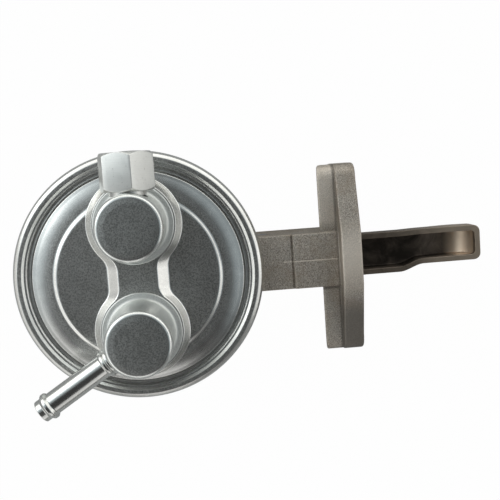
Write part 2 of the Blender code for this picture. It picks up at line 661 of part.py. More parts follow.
def make_valve(prefix, finishes, pump, way, up):
    """One check valve: flanged cage with its seat, rubber disc, spring and stem. up is the flow's way."""
    base = LOBE_Z - CAGE_DEPTH
    top = base + CAGE_HEIGHT
    seat = base + SEAT_PLATE_T if up > 0 else top - SEAT_PLATE_T
    axis = empty(f"{prefix}_axis", (0.0, way * CUP_Y, 0.0))
    axis.parent = pump

    flange_low = CUP_Z
    flange_high = CUP_Z + CAGE_FLANGE_T
    body = [(CAGE_R, base), (CAGE_R, flange_low), (CAGE_FLANGE_R, flange_low)]
    body += [(CAGE_FLANGE_R, flange_high), (CAGE_R, flange_high), (CAGE_R, top)]
    if up > 0:
        body += [(SEAT_BORE_R, top), (SEAT_BORE_R, seat), (0.0, seat), (0.0, base)]
    else:
        body += [(0.0, top), (0.0, seat), (SEAT_BORE_R, seat), (SEAT_BORE_R, base)]
    cage = revolve(f"{prefix}_valve_cage", body, FACETS_SMALL, axis, finishes["brass"])
    ends = (seat - 2 * SEAT_PLATE_T, seat + 2 * SEAT_PLATE_T)
    tools = [rod(f"{prefix}_stem_hole", STEM_R + PIN_GAP, *ends, "Z", (0, 0, 0), axis, FACETS_PORT)]
    port_circle = (STEM_R + PIN_GAP + SEAT_BORE_R) / 2
    for number in range(SEAT_PORT_COUNT):
        angle = math.tau * number / SEAT_PORT_COUNT
        place = (port_circle * math.cos(angle), port_circle * math.sin(angle), 0.0)
        tools.append(rod(f"{prefix}_port_{number}", SEAT_PORT_R, *ends, "Z", place, axis, FACETS_PORT))
    cut(cage, *tools)

    def along(distance):
        return seat + up * distance

    disc_start = SEAT_GAP
    disc_end = disc_start + DISC_T
    spring_start = disc_end + SEAT_GAP
    spring_end = spring_start + VALVE_SPRING_OPEN + DISC_TRAVEL
    head_start = spring_end + SEAT_GAP
    head_end = head_start + STEM_HEAD_T
    disc_r = SEAT_BORE_R - DISC_GAP
    hole_r = STEM_R + PIN_GAP
    revolve(f"{prefix}_valve_disc", [
        (hole_r, along(disc_start)), (disc_r, along(disc_start)), (disc_r, along(disc_end)),
        (hole_r, along(disc_end)),
    ], FACETS_SMALL, axis, finishes["rubber"])
    coil(f"{prefix}_valve_spring", VALVE_SPRING_R, VALVE_SPRING_WIRE_R,
         min(along(spring_start), along(spring_end)), max(along(spring_start), along(spring_end)),
         VALVE_SPRING_TURNS, axis, finishes["spring"], FACETS_PORT, COIL_SIDES)
    rivet = -SEAT_PLATE_T - SEAT_GAP
    revolve(f"{prefix}_valve_stem", [
        (0.0, along(rivet - STEM_HEAD_T)), (STEM_RIVET_R, along(rivet - STEM_HEAD_T)),
        (STEM_RIVET_R, along(rivet)), (STEM_R, along(rivet)), (STEM_R, along(head_start)),
        (STEM_HEAD_R, along(head_start)), (STEM_HEAD_R, along(head_end)), (0.0, along(head_end)),
    ], FACETS_TINY, axis, finishes["spring"])


def make_diaphragm(finishes, pump):
    """Fabric and rubber diaphragm, arched up at rest, between its two steel plates."""
    flat = DIAPHRAGM_Z + DOME_RISE
    hole = ROD_R + PIN_GAP
    run = [(PLATE_R + PLATE_LIP, flat)]
    for step in range(1, ARC_FACETS + 1):
        share = step / ARC_FACETS
        radius = PLATE_R + PLATE_LIP + (BOWL_R - SEAT_GAP - PLATE_R - PLATE_LIP) * share
        run.append((radius, flat - DOME_RISE * (3 * share ** 2 - 2 * share ** 3)))
    clamped = RIM_FLANGE_R - SEAT_GAP
    low = [(hole, flat)] + run + [(clamped, DIAPHRAGM_Z)]
    high = [(radius, height + DIAPHRAGM_T) for radius, height in reversed(low)]
    revolve("diaphragm", low + high, FACETS_LARGE, pump, finishes["diaphragm"])

    revolve("diaphragm_upper_plate", [
        (hole, PLATE_TOP_Z), (PLATE_R - PLATE_T / 2, PLATE_TOP_Z), (PLATE_R, PLATE_TOP_Z + PLATE_T / 2),
        (PLATE_R - PLATE_T / 2, PLATE_TOP_Z + PLATE_T), (hole, PLATE_TOP_Z + PLATE_T),
    ], FACETS_CUP, pump, finishes["plate"])
    low_plate = PLATE_LOW_Z - PLATE_T
    revolve("diaphragm_lower_plate", [
        (hole, PLATE_LOW_Z), (hole, low_plate), (PLATE_R - PLATE_T, low_plate),
        (PLATE_R + PLATE_LIP - PLATE_T, low_plate - PLATE_LIP), (PLATE_R + PLATE_LIP, low_plate - PLATE_LIP),
        (PLATE_R + PLATE_T / 2, PLATE_LOW_Z - PLATE_T / 2), (PLATE_R - PLATE_T / 2, PLATE_LOW_Z),
    ], FACETS_CUP, pump, finishes["plate"])


def make_pull_rod(finish, pump):
    """Pull rod: riveted over the upper plate, with a button below that the link's fork pulls on."""
    head = PLATE_TOP_Z + PLATE_T + SEAT_GAP
    revolve("pull_rod", [
        (0.0, head + ROD_HEAD_T), (ROD_HEAD_R - ROD_HEAD_T / 2, head + ROD_HEAD_T), (ROD_HEAD_R, head),
        (ROD_R, head), (ROD_R, BUTTON_Z), (BUTTON_R, BUTTON_Z), (BUTTON_R, BUTTON_Z - BUTTON_T / 2),
        (ROD_R, BUTTON_Z - BUTTON_T), (0.0, BUTTON_Z - BUTTON_T),
    ], FACETS_SMALL, pump, finish)


def make_seal(finishes, pump):
    """Rod seal on the bowl's floor, held down by a stamped retainer under the diaphragm spring."""
    low = BOWL_FLOOR_RISE + SEAT_GAP
    hole = ROD_R + PIN_GAP
    revolve("oil_seal", [
        (hole, low), (SEAL_R, low), (SEAL_R, low + SEAL_HEIGHT), (hole + PIN_GAP, low + SEAL_HEIGHT),
        (hole, low + SEAL_HEIGHT / 2),
    ], FACETS_SMALL, pump, finishes["rubber"])
    cap = low + SEAL_HEIGHT + SEAT_GAP
    cap_in = SEAL_R + SEAT_GAP
    cap_out = cap_in + RETAINER_T
    brim = low + RETAINER_T
    top = cap + RETAINER_T
    corner = RETAINER_T / 2
    revolve("seal_retainer", [
        (hole + PIN_GAP, cap), (cap_in, cap), (cap_in, low), (RETAINER_R, low), (RETAINER_R, brim),
        (cap_out, brim), (cap_out, top - corner), (cap_out - corner, top), (hole + PIN_GAP, top),
    ], FACETS_SMALL, pump, finishes["plate"])
    coil("diaphragm_spring", SPRING_R, SPRING_WIRE_R, brim + SEAT_GAP, PLATE_LOW_Z - PLATE_T - SEAT_GAP,
         SPRING_TURNS, pump, finishes["spring"], FACETS_TINY, COIL_SIDES)


def arm_section(x):
    """Edges of the rocker arm's channel at one place: low Y, high Y, low Z, high Z and bend radius."""
    share = min(max((x - JOGGLE_START) / (JOGGLE_END - JOGGLE_START), 0.0), 1.0)
    ease = 3 * share ** 2 - 2 * share ** 3
    low_y = -ARM_HALF + TIP_NARROWER * ease
    high_y = ARM_HALF + TIP_SHIFT * ease
    low_z = -ARM_WEB_DROP
    if x > PAD_START:
        run = min((x - PAD_START) / (ARM_REACH + ARM_SHEET - PAD_START), 1.0)
        low_z -= PAD_DEPTH * math.sin(math.pi * run) ** 2
    high_z = ARM_TOP_RISE + (ARM_TIP_RISE - ARM_TOP_RISE) * min(max(x / ARM_REACH, 0.0), 1.0)
    return low_y, high_y, low_z, high_z, ARM_BEND_R


def channel_ring(x, section):
    """A section of the channel's outside, with its lower corners rounded."""
    low_y, high_y, low_z, high_z, bend = section
    outline = [(low_y, high_z)]
    outline += arc((low_y + bend, low_z + bend), bend, 180, 270, 3)
    outline += arc((high_y - bend, low_z + bend), bend, 270, 360, 3)
    outline += [(high_y, high_z)]
    return [Vector((x + PIVOT_X, y, z)) for y, z in outline]


def make_rocker(finish, pivot):
    """Stamped rocker arm: a channel open towards the cups, with a cam pad near its closed tip."""
    bridge_high = -LINK_DROP + SEAT_GAP + LINK_T
    bridge_low = -LINK_DROP + SEAT_GAP + PIN_GAP
    thin = (bridge_high - bridge_low) / 4
    behind = -PIVOT_X - BRIDGE_BACK
    ear_back = -PIVOT_X - ARM_EAR
    bridge_section = (-ARM_HALF, ARM_HALF, bridge_low, bridge_high, thin)
    ear_bend = min(ARM_BEND_R, ARM_WEB_DROP / 4)
    ear_section = (-ARM_HALF, ARM_HALF, -ARM_WEB_DROP, ARM_TOP_RISE, ear_bend)
    end_web = -ARM_WEB_DROP * ARM_EAR_SHRINK
    end_section = (-ARM_HALF, ARM_HALF, end_web, ARM_TOP_RISE * ARM_EAR_SHRINK, ear_bend)
    rings = [
        channel_ring(behind - BRIDGE_LENGTH, bridge_section), channel_ring(behind, bridge_section),
        channel_ring(ear_back, end_section), channel_ring(ear_back + ARM_EAR_SLOPE, ear_section),
    ]
    places = [-PIVOT_X + ARM_WEB_START, JOGGLE_START]
    bends = 10
    front = ARM_REACH - ARM_BEND_R
    places += [JOGGLE_START + (front - JOGGLE_START) * step / bends for step in range(1, bends + 1)]
    rings += [channel_ring(x, arm_section(x)) for x in places]
    low_y, high_y, low_z, high_z, bend = arm_section(ARM_REACH)
    nose = (low_y + bend / 2, high_y - bend / 2, low_z + bend, high_z, bend / 2)
    rings.append(channel_ring(ARM_REACH, nose))
    rocker = loft("rocker_arm", rings, pivot, finish)

    def inside(x, section):
        low_y, high_y, low_z, high_z, bend = section
        hollow = (low_y + ARM_SHEET, high_y - ARM_SHEET, low_z + ARM_SHEET, high_z + FLANGE_T, bend / 4)
        return channel_ring(x, hollow)

    end = ARM_REACH - ARM_SHEET
    places = [behind, 0.0, JOGGLE_START]
    places += [JOGGLE_START + (end - JOGGLE_START) * step / bends for step in range(1, bends + 1)]
    hollow = loft("channel_inside", [inside(x, arm_section(x)) for x in places], pivot)
    window_half = ARM_HALF - ARM_SHEET
    window = prism("link_window", box_outline(-BRIDGE_BACK, ARM_WEB_START, -window_half, window_half),
                   -CHAMBER_FLOOR_DROP, 0.0, "Z", pivot)
    hole = rod("arm_pin_hole", PIN_R + PIN_GAP, -NECK_HALF_WIDTH, NECK_HALF_WIDTH, "Y", (0, 0, 0), pivot)
    cut(rocker, hollow, window, hole)
    return rocker


def make_link(finish, pivot):
    """Link: a stamped lever on the same pin, forked round the pull rod above its button."""
    fork = ROD_R + LINK_GAP
    tip = -LINK_LENGTH - LINK_END
    start = LINK_EAR_R
    slot = arc((-LINK_LENGTH, 0.0), fork, 90, -90)
    corner = tip + LINK_CORNER
    outline = [(tip, fork)] + slot
    outline += [(tip, -fork), (tip, LINK_CORNER - LINK_HALF), (corner, -LINK_HALF), (start, -LINK_HALF)]
    outline += [(start, LINK_HALF), (corner, LINK_HALF), (tip, LINK_HALF - LINK_CORNER)]
    link = prism("link_lever", outline, -LINK_BOTTOM, -LINK_DROP, "Z", pivot, finish)
    ear_r = LINK_EAR_R - LAP
    ear = arc((0.0, 0.0), ear_r, 0, 180, 2 * ARC_FACETS)
    ear = [(ear_r, -LINK_BOTTOM + LAP)] + ear + [(-ear_r, -LINK_BOTTOM + LAP)]
    ears = []
    for number, way in enumerate((1, -1)):
        ends = sorted((way * (LINK_HALF - LAP), way * (LINK_HALF - LINK_SHEET)))
        ears.append(prism(f"link_ear_{number}", ear, *ends, "Y", pivot))
    join(link, *ears)
    hole = rod("link_pin_hole", PIN_R + PIN_GAP, -NECK_HALF_WIDTH, NECK_HALF_WIDTH, "Y", (0, 0, 0), pivot)
    cut(link, hole)
    return link


def make_pin_and_spring(finishes, pivot, flange):
    """Pivot pin through the neck, and the spring that keeps the rocker arm on its cam."""
    rim = PIN_R - PIN_CHAMFER
    end = NECK_HALF_WIDTH
    lay = Matrix.Rotation(math.radians(-90), 4, "X")
    revolve("pivot_pin", [
        (0.0, -end), (rim, -end), (PIN_R, PIN_CHAMFER - end),
        (PIN_R, end - PIN_CHAMFER), (rim, end), (0.0, end),
    ], FACETS_SMALL, pivot, finishes["spring"], turn=lay)
    spring = coil("rocker_spring", ROCKER_SPRING_R, ROCKER_SPRING_WIRE_R,
                  -ARM_WEB_DROP + ARM_SHEET + SEAT_GAP, ROOF_RISE - SEAT_GAP,
                  ROCKER_SPRING_TURNS, flange, finishes["spring"], FACETS_TINY, COIL_SIDES)
    spring.location = (-PIVOT_X + ROCKER_SPRING_X, 0.0, 0.0)


def make_finishes():
    return {
        "casting": material("die_cast_aluminium", (0.29, 0.27, 0.245), 0.55, 0.85),
        "zinc": material("zinc_plated_sheet", (0.52, 0.54, 0.54), 0.32, 1.0),
        "cup": material("zinc_plated_cup", (0.56, 0.58, 0.58), 0.28, 1.0),
        "fitting": material("plated_fitting", (0.58, 0.61, 0.62), 0.25, 1.0),
        "arm": material("oiled_arm_steel", (0.17, 0.135, 0.11), 0.42, 0.9),
        "plate": material("bright_plate", (0.55, 0.55, 0.52), 0.35, 1.0),
        "spring": material("spring_steel", (0.32, 0.32, 0.33), 0.35, 1.0),
        "rubber": material("black_rubber", (0.02, 0.02, 0.02), 0.8, 0.0),
        "diaphragm": material("fabric_rubber", (0.10, 0.055, 0.03), 0.85, 0.0),
        "brass": material("valve_brass", (0.62, 0.45, 0.18), 0.35, 1.0),
    }


def main():
    for old in list(bpy.data.objects):
        bpy.data.objects.remove(old)
    finishes = make_finishes()
    flange = empty("flange_centre", (0.0, 0.0, FLANGE_Z))
    pump = empty("pump_axis", (-PUMP_X, 0.0, FLANGE_Z))
    pivot = empty("rocker_pivot", (-PIVOT_X, 0.0, FLANGE_Z))

    make_casting(finishes["casting"], flange, pump, pivot)
    make_cover(finishes["zinc"], pump)
    outlet_hole = rod("outlet_cup_hole", FITTING_NECK_R + SEAT_GAP, CUP_Y, CUP_Y + 2 * CUP_R, "Y",
                      (0, 0, PORT_Z), pump, FACETS_CUP)
    make_cup("outlet_cup", finishes["cup"], pump, 1, outlet_hole)
    inlet_hole = revolve("inlet_cup_hole", [
        (0.0, 0.0), (TUBE_R + SEAT_GAP, 0.0), (TUBE_R + SEAT_GAP, 2 * CUP_R), (0.0, 2 * CUP_R),
    ], FACETS_SMALL, pump, turn=tube_turn())
    inlet_hole.location = (0.0, -CUP_Y, PORT_Z)
    make_cup("inlet_cup", finishes["cup"], pump, -1, inlet_hole)
    make_fitting(finishes["fitting"], pump)
    make_tube(finishes["fitting"], pump)
    make_valve("outlet", finishes, pump, 1, 1)
    make_valve("inlet", finishes, pump, -1, -1)
    make_diaphragm(finishes, pump)
    make_pull_rod(finishes["spring"], pump)
    make_seal(finishes, pump)
    make_rocker(finishes["arm"], pivot)
    make_link(finishes["arm"], pivot)
    make_pin_and_spring(finishes, pivot, flange)


main()
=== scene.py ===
"""Mechanical diaphragm fuel pump: the finished pieces, their materials and the studio round them.

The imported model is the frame. Every new piece stands for one of its nodes, in the same place, and rides
on that node's body. All sizes are in metres.
"""
import math

import bpy
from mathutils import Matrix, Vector


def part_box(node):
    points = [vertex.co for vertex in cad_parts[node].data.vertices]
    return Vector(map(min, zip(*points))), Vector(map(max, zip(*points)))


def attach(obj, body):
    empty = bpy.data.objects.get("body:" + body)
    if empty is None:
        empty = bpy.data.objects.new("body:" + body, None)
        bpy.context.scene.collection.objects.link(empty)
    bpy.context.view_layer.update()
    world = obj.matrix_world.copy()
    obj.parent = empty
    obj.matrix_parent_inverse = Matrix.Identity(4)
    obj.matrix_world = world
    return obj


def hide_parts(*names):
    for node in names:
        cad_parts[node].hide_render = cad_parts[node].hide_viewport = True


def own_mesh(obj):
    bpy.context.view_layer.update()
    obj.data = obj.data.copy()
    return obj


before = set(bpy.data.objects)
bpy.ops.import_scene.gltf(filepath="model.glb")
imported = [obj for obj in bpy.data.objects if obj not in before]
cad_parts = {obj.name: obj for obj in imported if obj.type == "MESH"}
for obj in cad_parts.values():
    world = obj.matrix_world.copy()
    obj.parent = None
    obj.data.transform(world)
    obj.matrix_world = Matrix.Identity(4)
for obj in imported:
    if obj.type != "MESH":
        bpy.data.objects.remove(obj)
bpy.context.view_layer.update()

bl_info = {
    "name": "Fuel pump",
    "version": (1, 0, 0),
    "blender": (4, 5, 0),
    "location": "3D View > Sidebar > Fuel pump",
    "description": "Models and finishes the pieces of a diaphragm fuel pump",
    "category": "Add Mesh",
}

COVER_LOW, COVER_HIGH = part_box("fuel_cover")
PIN_LOW, PIN_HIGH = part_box("pivot_pin")
PUMP_X = (COVER_LOW.x + COVER_HIGH.x) / 2
PIVOT_X = (PIN_LOW.x + PIN_HIGH.x) / 2
MID_Z = (PIN_LOW.z + PIN_HIGH.z) / 2     # height of the flange's centre
AXIS = Vector((PUMP_X, 0.0, MID_Z))      # the pump's axis, at that height
PIVOT = Vector((PIVOT_X, 0.0, MID_Z))
OUT = Vector((1.0, 0.0, 0.0))            # towards the engine
ACROSS = Vector((0.0, 1.0, 0.0))         # along the pivot pin, and out of the outlet
UP = Vector((0.0, 0.0, 1.0))
NOWHERE = (0.0, 0.0, 0.0)
QUARTER_TURN = math.radians(90)
SEAT_GAP = 0.0003    # left between pieces that touch
PIN_BORE = 0.0033    # radius of the pivot pin's holes
DOUBLE = 0.000002    # points closer than this are one
NEAR = 0.00001       # slack when a point is compared with a radius or a station
ROUND = 256          # steps round the cover
TURNED = 96          # steps round smaller turned pieces


# ---------------------------------------------------------------- sums

def held(share):
    """A share kept between 0 and 1."""
    return min(max(share, 0.0), 1.0)


def ease(share):
    """A share that starts and ends slowly."""
    return 3 * share ** 2 - 2 * share ** 3


def arc(share):
    """How far a quarter circle has fallen, as a share of its radius."""
    return 1.0 - math.sqrt(1.0 - held(share) ** 2)


def spaced(start, end, steps):
    """Evenly spaced values, with both ends."""
    return [start + (end - start) * step / steps for step in range(steps + 1)]


# ---------------------------------------------------------------- modelling, as by hand

def clear():
    """Leaves edit mode and deselects everything."""
    if bpy.context.mode != "OBJECT":
        bpy.ops.object.mode_set(mode="OBJECT")
    bpy.ops.object.select_all(action="DESELECT")


def take(piece):
    """Makes one piece the only selected and active one."""
    clear()
    piece.select_set(True)
    bpy.context.view_layer.objects.active = piece


def edit(piece, select="SELECT", kind="VERT"):
    """Opens one piece in edit mode, with all or nothing of it selected."""
    take(piece)
    bpy.ops.object.mode_set(mode="EDIT")
    bpy.ops.mesh.select_mode(type=kind)
    bpy.ops.mesh.select_all(action=select)


def apply_place(piece):
    """Makes a piece's place and turn part of its mesh."""
    take(piece)
    bpy.ops.object.transform_apply(location=True, rotation=True, scale=True)


def face_out(piece):
    """Merges doubles and turns all faces outwards."""
    edit(piece)
    bpy.ops.mesh.remove_doubles(threshold=DOUBLE)
    bpy.ops.mesh.normals_make_consistent(inside=False)
    bpy.ops.object.mode_set(mode="OBJECT")


def curved(corners, steps=5):
    """A line of (across, along) corners, each rounded where it has a radius as its third number."""
    most = 0.48     # of a side that one rounding may use up
    points = []
    for index, corner in enumerate(corners):
        here = Vector(corner[:2])
        if index in (0, len(corners) - 1) or len(corner) < 3:
            points.append(here)
            continue
        before = Vector(corners[index - 1][:2]) - here
        after = Vector(corners[index + 1][:2]) - here
        half = before.angle(after) / 2
        reach = min(corner[2] / math.tan(half), most * before.length, most * after.length)
        radius = reach * math.tan(half)
        middle = (before.normalized() + after.normalized()).normalized()
        centre = here + middle * (radius / math.sin(half))
        start = (here + before.normalized() * reach - centre).normalized()
        end = (here + after.normalized() * reach - centre).normalized()
        points += [centre + radius * start.slerp(end, step / steps) for step in range(steps + 1)]
    return points


def draw(name, points):
    """Begins a piece as one vertex, extrudes it from point to point and leaves the line selected."""
    points = [point for index, point in enumerate(points)
              if not index or (point - points[index - 1]).length > DOUBLE / 2]
    clear()
    bpy.ops.mesh.primitive_plane_add(size=0.001, location=points[0])
    piece = bpy.context.object
    piece.name = piece.data.name = name
    apply_place(piece)
    edit(piece)
    bpy.ops.mesh.merge(type="CENTER")
    for start, end in zip(points, points[1:]):
        bpy.ops.mesh.extrude_vertices_move(TRANSFORM_OT_translate={"value": end - start})
    bpy.ops.mesh.select_all(action="SELECT")
    return piece


def turned(name, profile, place=AXIS, along=UP, side=OUT, steps=TURNED, ring=False):
    """Draws a half-section of (radius, height) points and spins it round its axis; a ring has no middle."""
    points = [place + side * radius + along * height for radius, height in profile]
    if ring:
        points.append(points[0])
    piece = draw(name, points)
    bpy.ops.mesh.spin(steps=steps, angle=math.tau, center=place, axis=along)
    face_out(piece)
    return piece


def fill_middle(piece, radius):
    """Fills the open edge loop nearest to the pump's axis with one face."""
    edit(piece, "DESELECT")
    bpy.ops.object.mode_set(mode="OBJECT")
    for vertex in piece.data.vertices:
        vertex.select = (vertex.co.xy - AXIS.xy).length < radius
    bpy.ops.object.mode_set(mode="EDIT")
    bpy.ops.mesh.edge_face_add()
    bpy.ops.object.mode_set(mode="OBJECT")


def plate(name, outline, start, end, axis):
    """Draws a closed outline, fills it and extrudes it along X, Y or Z."""
    place = {
        "X": lambda a, b, depth: Vector((depth, a, b)),
        "Y": lambda a, b, depth: Vector((a, depth, b)),
        "Z": lambda a, b, depth: Vector((a, b, depth)),
    }[axis]
    piece = draw(name, [place(a, b, start) for a, b in outline])
    bpy.ops.mesh.edge_face_add()
    bpy.ops.mesh.extrude_region_move(TRANSFORM_OT_translate={"value": place(0.0, 0.0, end - start)})
    face_out(piece)
    return piece


def bar(name, radius, start, end, steps=48):
    """A round bar between two points, used as a cutter and for bores."""
    clear()
    run = end - start
    bpy.ops.mesh.primitive_cylinder_add(
        vertices=steps, radius=radius, depth=run.length, location=(start + end) / 2,
        rotation=run.to_track_quat("Z", "Y").to_euler())
    piece = bpy.context.object
    piece.name = name
    apply_place(piece)
    return piece


def finish_with(piece, kind, **settings):
    """Adds one modifier with its settings and applies it."""
    take(piece)
    step = piece.modifiers.new(kind.lower(), kind)
    for key, value in settings.items():
        setattr(step, key, value)
    bpy.ops.object.modifier_apply(modifier=step.name)


def combine(piece, operation, *tools):
    """Joins tools to a piece, cuts them out of it or keeps what they share."""
    for tool in tools:
        finish_with(piece, "BOOLEAN", operation=operation, solver="EXACT", object=tool)
        bpy.data.objects.remove(tool)


def soften(piece, width, segments=4, angle=40):
    """Rounds the edges that turn by more than an angle in degrees."""
    finish_with(piece, "BEVEL", width=width, segments=segments, limit_method="ANGLE",
                angle_limit=math.radians(angle))


def place_points(piece, place):
    """Moves every vertex to where a shaping rule puts it."""
    clear()
    for vertex in piece.data.vertices:
        vertex.co = place(vertex.co.copy())
    piece.data.update()


def settle(piece, angle, body, material, node):
    """Shades a finished piece smooth up to an angle, gives it its material and body, and hides the node it
    stands for.
    """
    if angle:
        take(piece)
        bpy.ops.object.shade_smooth_by_angle(angle=math.radians(angle))
    piece.data.materials.clear()
    piece.data.materials.append(material)
    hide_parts(node)
    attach(piece, body)
    clear()


# ---------------------------------------------------------------- shader maths

def chained(operation, swapped=False):
    """An operator for sockets that puts a Math node after them."""
    def run(self, *others):
        values = (self, *others)
        return self.nodes.math(operation, *(reversed(values) if swapped else values))
    return run


class Value:
    """A socket, with the operators that put Math nodes after it."""

    def __init__(self, nodes, socket):
        self.nodes = nodes
        self.socket = socket

    __add__, __radd__ = chained("ADD"), chained("ADD", True)
    __sub__, __rsub__ = chained("SUBTRACT"), chained("SUBTRACT", True)
    __mul__, __rmul__ = chained("MULTIPLY"), chained("MULTIPLY", True)
    __pow__, __abs__ = chained("POWER"), chained("ABSOLUTE")


class Nodes:
    """The nodes of one material or of the world."""

    def __init__(self, tree):
        self.tree = tree

    def node(self, kind, settings=None, sockets=None, output=0):
        """Adds a node: its settings first, then the values or links of its sockets."""
        made = self.tree.nodes.new(kind)
        for key, value in (settings or {}).items():
            if key == "stops":
                ramp = made.color_ramp
                ramp.elements.remove(ramp.elements[1])
                ramp.elements[0].position, ramp.elements[0].color = value[0]
                for position, colour in value[1:]:
                    ramp.elements.new(position).color = colour
            else:
                setattr(made, key, value)
        for key, value in (sockets or {}).items():
            if isinstance(value, Value):
                self.tree.links.new(value.socket, made.inputs[key])
            else:
                made.inputs[key].default_value = value
        return Value(self, made.outputs[output])

    def math(self, operation, *values):
        return self.node("ShaderNodeMath", {"operation": operation}, dict(enumerate(values)))

    def noise(self, place, scale, detail=2.0, roughness=0.5, distortion=0.0):
        return self.node("ShaderNodeTexNoise", {}, {
            "Vector": place, "Scale": scale, "Detail": detail, "Roughness": roughness,
            "Distortion": distortion})

    def rise(self, value, low, high):
        """0 below low, 1 above high, smooth between."""
        return self.node("ShaderNodeMapRange", {"interpolation_type": "SMOOTHSTEP"}, {
            "Value": value, "From Min": low, "From Max": high, "To Min": 0.0, "To Max": 1.0})

    def band(self, value, low, high, edge):
        """1 between low and high, with soft edges."""
        return self.rise(value, low - edge, low + edge) * (1.0 - self.rise(value, high - edge, high + edge))

    def mix(self, factor, first, second):
        return self.node("ShaderNodeMix", {"data_type": "RGBA"}, {0: factor, 6: first, 7: second}, 2)

    def layered(self, paint, *layers):
        """A colour under (share, colour) layers, each over the ones before it."""
        for share, colour in layers:
            paint = self.mix(share, paint, colour)
        return paint

    def seen_from(self, place, centre):
        """A place, measured from a centre."""
        return self.node("ShaderNodeVectorMath", {"operation": "SUBTRACT"}, {0: place, 1: centre})

    def turn(self, place, angles, scale=(1.0, 1.0, 1.0)):
        return self.node("ShaderNodeMapping", {}, {"Vector": place, "Rotation": angles, "Scale": scale})

    def parts(self, place):
        """The X, Y and Z of a place."""
        return [self.node("ShaderNodeSeparateXYZ", {}, {0: place}, output) for output in range(3)]

    def bump(self, height, distance, strength, normal=None):
        sockets = {"Height": height, "Distance": distance, "Strength": strength}
        if normal:
            sockets["Normal"] = normal
        return self.node("ShaderNodeBump", {}, sockets)

    def scratches(self, place, turn, scale, width):
        """Thin, slightly bent lines that mostly run one way."""
        lined = self.turn(place, (0.0, 0.0, turn), (1.0, 0.12, 1.0))
        line = abs(self.noise(lined, scale, 1.0) - 0.5)
        broken = self.rise(self.noise(place, scale * 0.7, 2.0), 0.60, 0.68)
        return (1.0 - self.rise(line, 0.0, width)) * broken


def new_finish(name):
    """A new material with its nodes and the place that its patterns read."""
    made = bpy.data.materials.new(name)
    made.use_nodes = True
    nodes = Nodes(made.node_tree)
    place = nodes.node("ShaderNodeTexCoord", {}, {}, "Object")
    return made, nodes, place


def shade(made, paint, rough, normal, metallic=0.0):
    """Links what varies to the shader and sets what is the same all over."""
    shader = made.node_tree.nodes["Principled BSDF"]
    for key, value in (("Base Color", paint), ("Roughness", rough), ("Normal", normal)):
        made.node_tree.links.new(value.socket, shader.inputs[key])
    shader.inputs["Metallic"].default_value = metallic
    return made


def tone(colour, share):
    """A colour made darker or lighter."""
    return tuple(min(part * share, 1.0) for part in colour[:3]) + (1.0,)


def zinc_sheet(name, colour, centre, rings, wall_top=0.0):
    """Zinc plated pressing: satin grain with painted shade on its flats, cloudy tarnish, scratches, rings of
    painted shade.

    Each ring of painted shade has an inner and an outer radius, a soft edge and a depth. Walls below wall_top
    get a painted sheen.
    """
    made, nodes, place = new_finish(name)
    grain = nodes.noise(place, 1700.0, 3.0, 0.8)
    cloud = nodes.noise(place, 130.0, 5.0, 0.65, 0.4)
    lines = nodes.scratches(place, 0.5, 120.0, 0.006)
    facing = nodes.parts(nodes.node("ShaderNodeNewGeometry", {}, {}, "Normal"))[2]
    flat = nodes.rise(abs(facing), 0.975, 0.998)
    paint = nodes.mix(nodes.rise(cloud, 0.3, 0.8), tone(colour, 0.96), tone(colour, 1.10))
    # darker grain, much more on the flats: the sheet's grain, plus painted shade that makes the flats dark
    paint = nodes.mix(nodes.rise(grain, 0.42, 0.60) * (0.10 + 0.70 * flat), paint, tone(colour, 0.42))
    rough = 0.20 + grain * 0.06 + cloud * 0.05 + flat * 0.10
    x, y, z = nodes.parts(nodes.seen_from(place, centre))
    radius = (x * x + y * y) ** 0.5
    for low, high, edge, depth in rings:
        # painted shade along each ring, which is a little rougher too
        painted_shade = nodes.band(radius, low, high, edge) * (0.55 + 0.45 * cloud) * depth
        paint = nodes.mix(painted_shade, paint, tone(colour, 0.16))
        rough = rough + painted_shade * 0.2
    paint = nodes.mix(lines * 0.35, paint, tone(colour, 1.3))
    if wall_top:
        # painted sheen: the walls below wall_top are painted lighter, and are rougher too
        wall = 1.0 - nodes.rise(z, wall_top - 0.003, wall_top - 0.001)
        paint = nodes.mix(wall * 0.6, paint, tone(colour, 1.3))
        rough = rough + wall * 0.16
    normal = nodes.bump(grain * (0.02 + 0.98 * flat) - lines * 0.2, 0.00010, 0.8)
    return shade(made, paint, rough, normal, 1.0)


